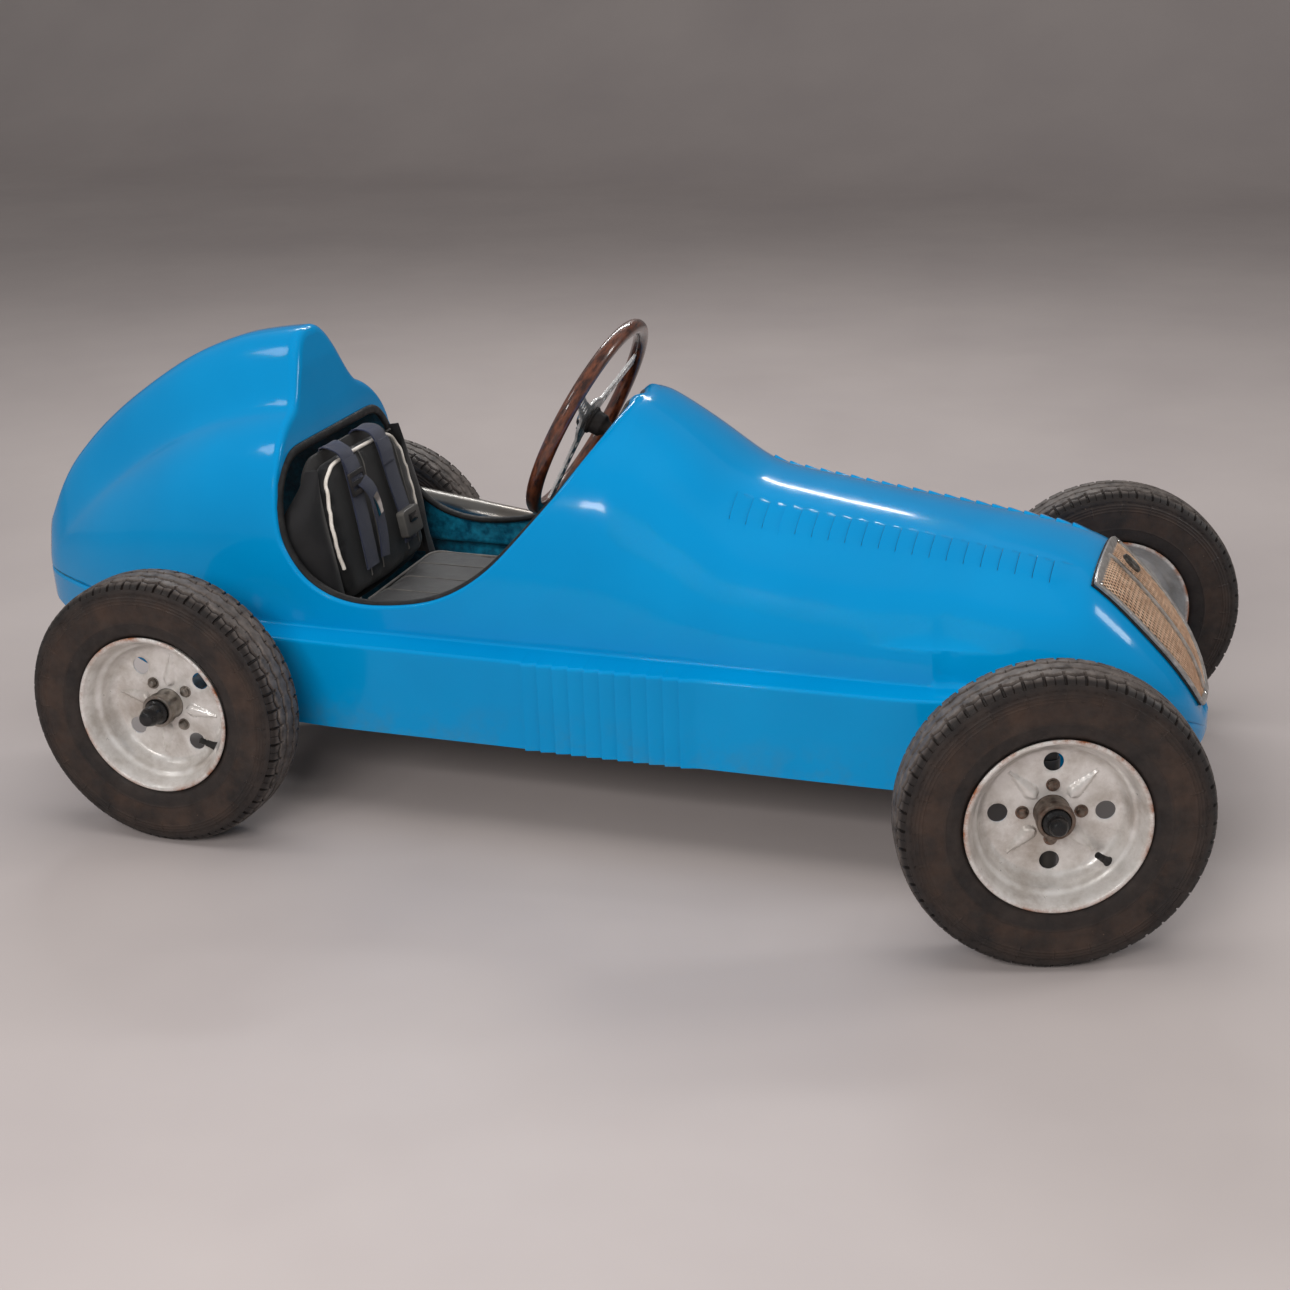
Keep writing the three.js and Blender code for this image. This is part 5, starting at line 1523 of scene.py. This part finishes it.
def add_badge():
    """Blank oval badge with a raised border, on the grille's middle bar."""
    place = middle("grille_badge")
    ahead = Vector((math.sin(math.pi / 4), 0, math.cos(math.pi / 4)))
    x_axis = Vector((0, 1, 0))
    turn = Matrix((x_axis, ahead, x_axis.cross(ahead))).transposed().to_4x4()
    frame_here = Matrix.Translation(place) @ turn
    profile = rounded([[0, -2.4], [9.4, -2.4], [9.4, 1.2], [8.6, 2.4], [7.6, 2.4], [7.0, 1.3], [0, 1.5]], 0.5)
    points, faces = turned(profile, 56)
    oval = points * (1.0, 1.0, 1.6)
    badge = piece("grille_badge_blank", (oval, faces), BADGE_ENAMEL, frame_here)
    finish_piece(badge, "chassis", "black_enamel", "grille_badge")


BADGE_ENAMEL = metal_material("badge_metal", rgb(120, 116, 110), rgb(36, 34, 34), 0.3, 0.8, grain=120)
add_grille()
add_badge()


# ---------------------------------------------------------------- seat and harness
BACK_LEAN = math.atan2(48, 244)
BACK_FOOT = np.array([-432, 0, 244], float)
UP_BACK = np.array([-math.sin(BACK_LEAN), 0, math.cos(BACK_LEAN)])
OFF_BACK = np.array([math.cos(BACK_LEAN), 0, math.sin(BACK_LEAN)])
BACK_THICK = 27.0
SEAT_BASE_TOP = 243.6


def on_back(y, up, off):
    """Point at a height up the backrest and a distance off its board."""
    y, up, off = np.broadcast_arrays(np.asarray(y, float), np.asarray(up, float), np.asarray(off, float))
    points = BACK_FOOT + UP_BACK * up[..., None] + OFF_BACK * off[..., None]
    points[..., 1] = y
    return points


def vinyl_material(name, base, worn, scale=1.0):
    """Grained vinyl with creases, a soft sheen and worn high spots."""
    s = Shade(name, Sheen_Weight=0.1, Specular_IOR_Level=0.4)
    grain = s.cells(520 * scale, "DISTANCE_TO_EDGE")
    cloud = s.noise(14, 5, 0.6)
    shade = s.mix(s.band(cloud, 0.4, 0.72), base, worn)
    s.colour(shade)
    s.roughness(s.band(cloud, 0.3, 0.7, 0.36, 0.56))
    crease = s.noise(22, 3, 0.5, s.stretch((1, 1.6, 1)))
    s.bump(crease, 0.003, 0.28)
    s.bump(s.band(grain, 0, 0.12), 0.00025, 0.5)
    return s.material


def webbing_material():
    """Navy harness webbing: fine ribs across and a herringbone down the middle."""
    s = Shade("harness_webbing", Roughness=0.82, Sheen_Weight=0.25)
    ribs = s.wave(520, "Z", s.stretch(turn=(0, -BACK_LEAN, 0)))
    threads = s.wave(300, "Y", distortion=0.6)
    shade = s.mix(s.times(ribs, 0.6), rgb(12, 18, 40), rgb(27, 38, 72))
    shade = s.mix(s.band(s.noise(40, 5), 0.5, 0.75, 0.0, 0.5), shade, rgb(40, 50, 82))
    s.colour(shade)
    s.bump(s.math("ADD", ribs, threads), 0.0005, 0.6)
    return s.material


VINYL = vinyl_material("seat_vinyl", rgb(9, 9, 10), rgb(24, 23, 23))
VINYL_SIDE = vinyl_material("seat_side_vinyl", rgb(18, 18, 18), rgb(40, 38, 37), 0.8)
SIDE_GLOSS = vinyl_material("seat_wing_vinyl", rgb(13, 13, 14), rgb(32, 31, 32), 0.9)
PIPING = rubber_material("white_piping", rgb(226, 219, 210), rgb(186, 176, 164), (0.4, 0.55))
SEAM_CORD = rubber_material("seam_cord", rgb(74, 72, 70), rgb(104, 100, 96), (0.5, 0.6))
WEBBING = webbing_material()


def back_outline(inset=0.0):
    """Outline of the backrest as (y, up), wider at the hips than at the shoulders."""
    right = [(104, 236), (136, 214), (149, 150), (151, 96), (141, 36), (122, 22)]
    outline = [(0, 238)] + right + [(0, 18)] + [(-y, up) for y, up in right[::-1]]
    outline = rounded(outline, 34, 6, closed=True)
    centre = outline.mean(0)
    return centre + (outline - centre) * (1 - inset / 130)


def slab(outline_points, inner_points):
    """Closed slab between two outlines with the same number of points, with a middle vertex on each face."""
    count = len(outline_points)
    points = np.vstack([outline_points, inner_points, outline_points.mean(0), inner_points.mean(0)])
    faces = []
    for j in range(count):
        k = (j + 1) % count
        faces.append((j, k, count + k, count + j))
        faces.append((k, j, 2 * count))
        faces.append((count + j, count + k, 2 * count + 1))
    return points, faces


def flat_slab(outline, low, high):
    """Closed slab over a level outline, between two heights."""
    return slab(*(np.column_stack([outline, np.full(len(outline), z)]) for z in (low, high)))


def padded_out(obj, cap, pressure=4.0, voxel=6.0, settle=20):
    """Blows a pad up by cloth simulation; no point moves further than cap millimetres."""
    remesh = obj.modifiers.new("remesh", "REMESH")
    remesh.mode = "VOXEL"
    remesh.voxel_size = voxel * MM
    applied(obj)
    rest = np.array([v.co for v in obj.data.vertices])
    cloth = obj.modifiers.new("cloth", "CLOTH")
    cloth.settings.use_pressure = True
    cloth.settings.uniform_pressure_force = pressure
    cloth.settings.effector_weights.gravity = 0
    cloth.settings.tension_stiffness = 25
    cloth.settings.bending_stiffness = 4
    cloth.point_cache.frame_start = 1
    cloth.point_cache.frame_end = settle
    for step in range(1, settle + 1):
        bpy.context.scene.frame_set(step)
    applied(obj)
    bpy.context.scene.frame_set(1)
    blown = np.array([v.co for v in obj.data.vertices])
    shift = blown - rest
    length = np.linalg.norm(shift, axis=1, keepdims=True)
    blown = rest + shift * np.minimum(1, cap * MM / np.maximum(length, 1e-9))
    obj.data.vertices.foreach_set("co", blown.reshape(-1))
    subdivide = obj.modifiers.new("subdivide", "SUBSURF")
    subdivide.levels = subdivide.render_levels = 1
    applied(obj)
    return smoothed(obj, 60)


def surface_of(obj):
    """A tree of the piece's surface, for laying seams and straps on it."""
    graph = bpy.context.evaluated_depsgraph_get()
    return BVHTree.FromObject(obj, graph)


def laid_on(tree, points, towards, stand):
    """Points moved along a direction until they rest on the surface, stand millimetres above it."""
    direction = Vector(towards).normalized()
    out = []
    for point in placed(points):
        start = Vector(point) - direction * 0.12
        hit = tree.ray_cast(start, direction, 0.4)[0]
        at = hit - direction * stand * MM if hit else Vector(point)
        out.append((at.x / MM - DATUM_X / MM, at.y / MM, at.z / MM))
    return np.array(out)


def add_seat_shell():
    """Bent board, as a back board and a base board, under the cushion and behind the back pad."""
    outline = back_outline(-3)
    front, rear = on_back(outline[:, 0], outline[:, 1], -1.0), on_back(outline[:, 0], outline[:, 1], -6.5)
    board = piece("seat_back_board", slab(front, rear), VINYL_SIDE, angle=30)
    bevelled(board, 1.5, 3)
    finish_piece(board, "chassis", "seat_vinyl", "seat_shell")
    corners = rounded([(-188, -148), (-188, 148), (-430, 148), (-430, -148)], 26, 6, closed=True)
    base = piece("seat_base_board", flat_slab(corners, 238.2, SEAT_BASE_TOP), VINYL_SIDE, angle=30)
    bevelled(base, 1.2, 2)
    finish_piece(base, "chassis", "seat_vinyl")


def add_seat_wings():
    """Glossy padded sides from the backrest's edges out towards the body."""
    wings = []
    for side in (-1, 1):
        rows = []
        for up in np.linspace(14, 226, 30):
            narrow = ease(up, 140, 238)
            inner = on_back(side * (139 - 6 * narrow), up, 19.0)
            reach = 46 * (1 - narrow) + 1
            row = []
            for t in np.linspace(0, 1, 12):
                swell = 7 * math.sin(math.pi * t) * (0.8 + 0.2 * math.cos(up / 17))
                off = swell - 6 * t - 46 * t ** 3 * (1 - narrow)
                row.append(inner + np.array([0, side * reach * t, 0]) + OFF_BACK * off)
            rows.append(row)
        front = np.array(rows)
        rear = front - OFF_BACK * 7
        loops = np.concatenate([front, rear[:, ::-1]], axis=1)
        wings.append((loops.reshape(-1, 3), ring_faces(len(rows), 24, caps=True)))
    wings_piece = piece("seat_side_wings", merged(*wings), SIDE_GLOSS, angle=50)
    finish_piece(wings_piece, "chassis", "seat_vinyl")


def add_back_pad():
    outline = back_outline(5)
    front = on_back(outline[:, 0], outline[:, 1], BACK_THICK - 8)
    rear = on_back(outline[:, 0], outline[:, 1], 2.5)
    pad = piece("seat_back_cushion", slab(front, rear), VINYL, angle=60)
    padded_out(pad, 7.0)
    finish_piece(pad, "chassis", "seat_vinyl", "seat_back_pad")
    return pad


def add_seat_cushion():
    corners = rounded([(-200, -140), (-200, 140), (-420, 140), (-420, -140)], 34, 6, closed=True)
    cushion = piece("seat_cushion_pad", flat_slab(corners, 249.0, 270.0), VINYL, angle=60)
    padded_out(cushion, 7.0)
    for vertex in cushion.data.vertices:
        vertex.co.z = max(vertex.co.z, (SEAT_BASE_TOP + 1.1) * MM)
    finish_piece(cushion, "chassis", "seat_vinyl", "seat_cushion")
    return cushion


def add_piping(pad, cushion):
    tree = surface_of(pad)
    outline = back_outline(17)
    outline = np.array([p for p in outline if p[1] > 66])
    order = np.argsort(-np.arctan2(outline[:, 0], outline[:, 1] - 120))
    outline = outline[order]
    edge = on_back(outline[:, 0], outline[:, 1], BACK_THICK)
    laid = laid_on(tree, edge, -OFF_BACK, 0.6)
    white = piece("seat_piping_white", swept(laid, circle(2.9, 10), OFF_BACK), PIPING, angle=60)
    finish_piece(white, "chassis", "seat_vinyl")
    seams = []
    for y_top, y_low in ((-34, -62), (-4, -22), (60, 66), (96, 104)):
        ups = np.linspace(226, 48, 40)
        path = on_back(np.linspace(y_top, y_low, 40), ups, BACK_THICK)
        seams.append(swept(laid_on(tree, path, -OFF_BACK, 0.2), circle(1.3, 8), OFF_BACK))
    lines = piece("seat_seam_lines", merged(*seams), SEAM_CORD, angle=60)
    finish_piece(lines, "chassis", "seat_vinyl")
    tree = surface_of(cushion)
    corners = rounded([(-216, -125), (-216, 125), (-404, 125), (-404, -125)], 34, 8, closed=True)
    loop = laid_on(tree, np.column_stack([corners, np.full(len(corners), 280.0)]), (0, 0, -1), 0.4)
    welt = [swept(loop, circle(2.4, 8), (0, 0, 1), closed=True)]
    for y in (-62, 0, 62):
        path = np.column_stack([np.linspace(-220, -400, 30), np.full(30, y), np.full(30, 285.0)])
        welt.append(swept(laid_on(tree, path, (0, 0, -1), 0.2), circle(1.3, 8), (0, 0, 1)))
    cushion_lines = piece("cushion_piping", merged(*welt), SEAM_CORD, angle=60)
    finish_piece(cushion_lines, "chassis", "seat_vinyl")


def strap(route, width, thick, lean=(0, 1, 0), smooth=20):
    """Flat webbing along a route of points, its width lying towards lean."""
    path = catmull(np.asarray(route, float), smooth)
    w, t = width / 2, thick / 2
    section = rounded([(w, t), (-w, t), (-w, -t), (w, -t)], thick * 0.45, 2, closed=True)
    return swept(path, section, lean)


STRAP_WIDTH = 38.0


def add_harness():
    near, far = -58.0, 50.0
    for label, y, foot_y in (("right", near, near - 6), ("left", far, far + 16)):
        route = [
            on_back(y * 0.8, 196, -13), on_back(y * 0.86, 226, -11), on_back(y * 0.9, 243, 0),
            on_back(y, 241, 18), on_back(y, 228, 30.5), on_back(y + 0.2 * (foot_y - y), 196, 33.5),
            on_back((y + foot_y) / 2, 150, 34), on_back(foot_y, 100, 34), on_back(foot_y, 62, 32.5),
        ]
        shape = strap(route, STRAP_WIDTH, 2.2)
        lap = strap([on_back(y, 222, 34), on_back(y, 205, 36.4), on_back(y, 186, 35.8)], STRAP_WIDTH + 1, 2.0)
        band = piece("shoulder_strap_" + label, merged(shape, lap), WEBBING, angle=40)
        finish_piece(band, "chassis", "webbing", "harness_strap_" + label)
    # spare webbing that hangs from the near adjuster
    tail = strap([
        on_back(near + 8, 190, 37), on_back(near + 22, 168, 44), on_back(near + 30, 136, 43),
        on_back(near + 34, 96, 39), on_back(near + 30, 66, 36),
    ], 26, 1.8, (0, 1, 0.25))
    loose = piece("shoulder_strap_tail", tail, WEBBING, angle=40)
    finish_piece(loose, "chassis", "webbing")
    frame_near = back_frame(near, 186, 38.0)
    slide = plate("harness_adjuster", frame_plate(46, 34, 7, 2), 3.2, BLACK_STEEL, frame_near, 0.7)
    finish_piece(slide, "chassis", "buckle_steel")
    tongue_route = [on_back(near + 24, 172, 42), on_back(near + 29, 150, 45), on_back(near + 34, 128, 43)]
    tongue = piece("harness_tongue", strap(tongue_route, 17, 2.4, (0, 1, 0.3), 8), CHROME, angle=40)
    finish_piece(tongue, "chassis", "buckle_steel")
    frame_far = back_frame(far + 10, 92, 41.0)
    block = piece("harness_buckle_case", rounded_block(54, 40, 13), BUCKLE_GREY, frame_far)
    bevelled(block, 2.2, 3)
    finish_piece(block, "chassis", "buckle_steel", "harness_buckle")
    button = piece("harness_button", rounded_block(24, 13, 2.4, (0, 6, 7.2)), BLACK_PLASTIC, frame_far)
    bevelled(button, 0.8, 2)
    finish_piece(button, "chassis", "buckle_steel")


def back_frame(y, up, off):
    """Frame on the backrest: X across to the car's left, Y up the back, Z off it."""
    turn = Matrix((Vector((0, 1, 0)), Vector(UP_BACK), Vector(OFF_BACK))).transposed().to_4x4()
    return Matrix.Translation(Vector(placed(on_back(y, up, off)))) @ turn


def frame_plate(width, height, bar, slots):
    """Outline of a slide buckle: a plate with slots for the webbing."""
    outlines = [oblong(width, height, 4, 5)]
    gap = (height - bar * (slots + 1)) / slots
    for k in range(slots):
        low = -height / 2 + bar + k * (gap + bar)
        outlines.append(oblong(width - 10, gap, 1.5, 3, (0, low + gap / 2)))
    return outlines


def rounded_block(width, height, depth, at=(0, 0, 0)):
    corners = oblong(width, height, min(width, height) * 0.16, 4)
    low = np.column_stack([corners, np.full(len(corners), -depth / 2)]) + at
    high = np.column_stack([corners, np.full(len(corners), depth / 2)]) + at
    return slab(low, high)


BUCKLE_GREY = enamel_material("buckle_case", rgb(70, 68, 66), rgb(92, 90, 86), 0.4)
add_seat_shell()
add_seat_wings()
back_pad, cushion_pad = add_back_pad(), add_seat_cushion()
add_piping(back_pad, cushion_pad)
add_harness()


# ---------------------------------------------------------------- exhaust
PIPE_ROUTE = np.array([
    [232, 262, 206], [190, 288, 209], [130, 294, 218], [-80, 293, 250], [-200, 284, 266], [-300, 274, 280],
    [-480, 270, 306], [-620, 270, 328], [-770, 270, 352],
], float)
PIPE_RADIUS = 22.0


def pipe_material():
    """Brushed exhaust steel with painted reflections drawn out along the pipe as streaks, and heat tints."""
    s = Shade("exhaust_steel", Metallic=1.0)
    streak = s.noise(24, 4, 0.6, s.stretch((0.06, 1, 1)))
    fine = s.noise(240, 3, 0.6, s.stretch((0.05, 1, 1)))
    # lengthwise light and dark streaks in the colour: painted reflections; the same streaks vary the
    # roughness
    shade = s.mix(s.band(streak, 0.35, 0.68), rgb(150, 148, 144), rgb(104, 100, 96))
    shade = s.mix(s.band(s.noise(7, 4), 0.5, 0.8, 0.0, 0.5), shade, rgb(120, 96, 74))
    s.colour(shade)
    s.roughness(s.band(streak, 0.3, 0.7, 0.24, 0.42))
    s.bump(fine, 0.00015, 0.4)
    return s.material


def add_exhaust():
    path = catmull(PIPE_ROUTE, 14)
    run = run_along(path)
    bump = np.zeros(len(path))
    for at in (0.16, 0.62, 0.985):
        bump += 1.2 * np.exp(-((run / run[-1] - at) / 0.006) ** 2)
    sizes = 0.98 + bump / PIPE_RADIUS * 0.35
    back = path[-1] - path[-4]
    back /= np.linalg.norm(back)
    # over the end of the pipe and back inside it
    centres = np.vstack([path, path[-1] + back * 0.5, path[::-1][:8]])
    scale = np.concatenate([sizes, [0.93], np.full(8, 0.88)])
    directions = np.vstack([np.gradient(path, axis=0), np.tile(back, (9, 1))])
    rings = []
    for centre, size, direction in zip(centres, scale, directions):
        direction = direction / np.linalg.norm(direction)
        first = np.cross(direction, (0, 0, 1))
        first /= np.linalg.norm(first)
        second = np.cross(first, direction)
        section = circle(PIPE_RADIUS * size, 32)
        rings.append(centre + section[:, :1] * first + section[:, 1:] * second)
    shape = np.vstack(rings), ring_faces(len(rings), 32, caps=True)
    pipe = piece("exhaust_tailpipe", shape, pipe_material(), angle=50)
    finish_piece(pipe, "chassis", "pipe_steel", "exhaust_pipe")


add_exhaust()


# ---------------------------------------------------------------- frame, axles, steering links and drive
def refined(node, body, slot_name, material, edge=1.2):
    """A CAD node's shape with its facets merged, its edges rounded and its round stretches smooth."""
    obj = bpy.data.objects.new(node + "_finished", bpy.data.objects[node].data.copy())
    bpy.context.scene.collection.objects.link(obj)
    obj.data.materials.clear()
    obj.data.materials.append(material)
    mesh = bmesh.new()
    mesh.from_mesh(obj.data)
    bmesh.ops.remove_doubles(mesh, verts=mesh.verts, dist=2e-5)
    bmesh.ops.dissolve_limit(mesh, angle_limit=math.radians(1.5), verts=mesh.verts, edges=mesh.edges)
    mesh.to_mesh(obj.data)
    mesh.free()
    bevelled(obj, edge, 2, 48)
    smoothed(obj, 42)
    return finish_piece(obj, body, slot_name, node)


KINGPIN_Y, STEER_ARM, ARM_INBOARD = 340.5, 99.0, 14.0
STEER_AT_REST = math.radians(19)
LINK_Z, KNUCKLE_LOW = 113.0, 133.0


def add_track_rod():
    """Rod between the steering arms, with eyes slim enough to pass the tyres at full lock."""
    ends = []
    for side in (1, -1):
        arm_x, arm_y = -STEER_ARM, -side * (ARM_INBOARD + 0.6)
        x = FRONT_X + arm_x * math.cos(STEER_AT_REST) - arm_y * math.sin(STEER_AT_REST)
        y = side * KINGPIN_Y + arm_x * math.sin(STEER_AT_REST) + arm_y * math.cos(STEER_AT_REST)
        ends.append(np.array([x, y, LINK_Z]))
    lift = np.array([0, 0, 1.0])
    shapes = [rod(ends[0], ends[1], 5.2)]
    for end, other in ((ends[0], ends[1]), (ends[1], ends[0])):
        inwards = (other - end) / np.linalg.norm(other - end)
        shapes.append(rod(end - lift * 8.5, end + lift * 8.5, 5.8))
        shapes.append(rod(end, [end[0], end[1], KNUCKLE_LOW - 0.8], 3.6))
        shapes.append(rod(end + inwards * 9, end + inwards * 27, 6.6, 6))
        shapes.append(rod(end - lift * 11.5, end - lift * 8, 4.6, 6))
    centre = (ends[0] + ends[1]) / 2
    shapes.append(rod(centre - lift * 8, centre + lift * 8, 11))
    shapes.append(rod(centre + lift * 7.5, centre + lift * 11.5, 6.5, 6))
    obj = piece("track_rod_link", merged(*shapes), BARE_STEEL, angle=40)
    finish_piece(obj, "track_link", "bare_steel", "track_rod")


CHASSIS_NODES = [
    "chassis_rail_left", "chassis_rail_right", "cross_member_1", "cross_member_2", "floor_pan", "front_axle",
    "scuttle_hoop", "axle_bearing_left", "axle_bearing_right", "crank_bearing_left", "crank_bearing_right",
    "seat_trestle_front", "seat_trestle_rear", "exhaust_bracket_1", "exhaust_bracket_2",
]
for node in CHASSIS_NODES:
    refined(node, "chassis", "black_steel", BLACK_STEEL)
refined("column_bush", "chassis", "black_rubber", TRIM_RUBBER)
refined("drive_chain", "chassis", "bare_steel", RUSTY_STEEL, 0.8)
for side in ("left", "right"):
    refined("stub_axle_" + side, "knuckle_" + side, "black_steel", BLACK_STEEL)
    refined("pedal_" + side, "pedal_block_" + side, "black_rubber", TRIM_RUBBER, 2.0)
add_track_rod()
refined("drop_arm", "steering", "bare_steel", BARE_STEEL, 0.8)
refined("crankshaft", "cranks", "bare_steel", BARE_STEEL, 0.8)
refined("chainring", "cranks", "bare_steel", BARE_STEEL, 0.4)
refined("rear_axle", "rear_wheels", "bare_steel", BARE_STEEL, 0.8)
refined("rear_sprocket", "rear_wheels", "bare_steel", RUSTY_STEEL, 0.4)


# ---------------------------------------------------------------- stage and light
def add_stage():
    size = 14.0
    mesh = bpy.data.meshes.new("studio_floor")
    rows = []
    for k in range(41):
        turn = math.pi / 2 * min(max((k - 12) / 16, 0), 1)
        back = 5.5 + 2.0 * math.sin(turn) if k > 12 else -6 + 11.5 * k / 12
        rise = 2.0 * (1 - math.cos(turn)) + max(k - 28, 0) * 0.35
        rows.append((back, rise))
    verts = [(side * size, back, rise) for back, rise in rows for side in (-1, 1)]
    faces = [(2 * k, 2 * k + 1, 2 * k + 3, 2 * k + 2) for k in range(len(rows) - 1)]
    mesh.from_pydata(verts, [], faces)
    mesh.polygons.foreach_set("use_smooth", [True] * len(mesh.polygons))
    mesh.materials.append(stage_material())
    floor = bpy.data.objects.new("studio_floor", mesh)
    bpy.context.scene.collection.objects.link(floor)


def add_light(name, place, target, size, power, tint=(1, 1, 1)):
    data = bpy.data.lights.new(name, "AREA")
    data.shape = "RECTANGLE"
    data.size, data.size_y = size
    data.energy = power
    data.color = tint
    lamp = bpy.data.objects.new(name, data)
    aim = Vector(target) - Vector(place)
    lamp.matrix_world = Matrix.Translation(place) @ aim.to_track_quat("-Z", "Y").to_matrix().to_4x4()
    bpy.context.scene.collection.objects.link(lamp)
    return lamp


def add_lights():
    world = bpy.data.worlds.new("studio")
    world.use_nodes = True
    world.node_tree.nodes["Background"].inputs[0].default_value = (0.96, 0.95, 0.95, 1)
    world.node_tree.nodes["Background"].inputs[1].default_value = 0.34
    bpy.context.scene.world = world
    bpy.context.scene.view_settings.view_transform = "Standard"
    key = add_light("key", (0.3, -3.3, 1.9), (0.1, 0, 0.25), (1.6, 1.0), 78, (1, 0.98, 0.97))
    key.visible_glossy = False
    add_light("glint", (-0.8, -3.2, 2.3), (0, 0, 0.3), (0.4, 0.25), 12, (1, 0.98, 0.97))
    add_light("front", (3.0, 0.9, 1.9), (0.3, 0, 0.3), (0.5, 0.9), 20)
    add_light("rear", (-2.4, -1.2, 2.9), (-0.3, 0, 0.4), (0.5, 0.5), 7)
    add_light("back", (-1.0, 2.6, 2.5), (0, 0, 0.3), (2.6, 0.14), 42)
    overhead = add_light("overhead", (0.3, -0.6, 4.2), (0.1, 0, 0), (3.4, 3.0), 76)
    overhead.visible_glossy = False


add_stage()
add_lights()
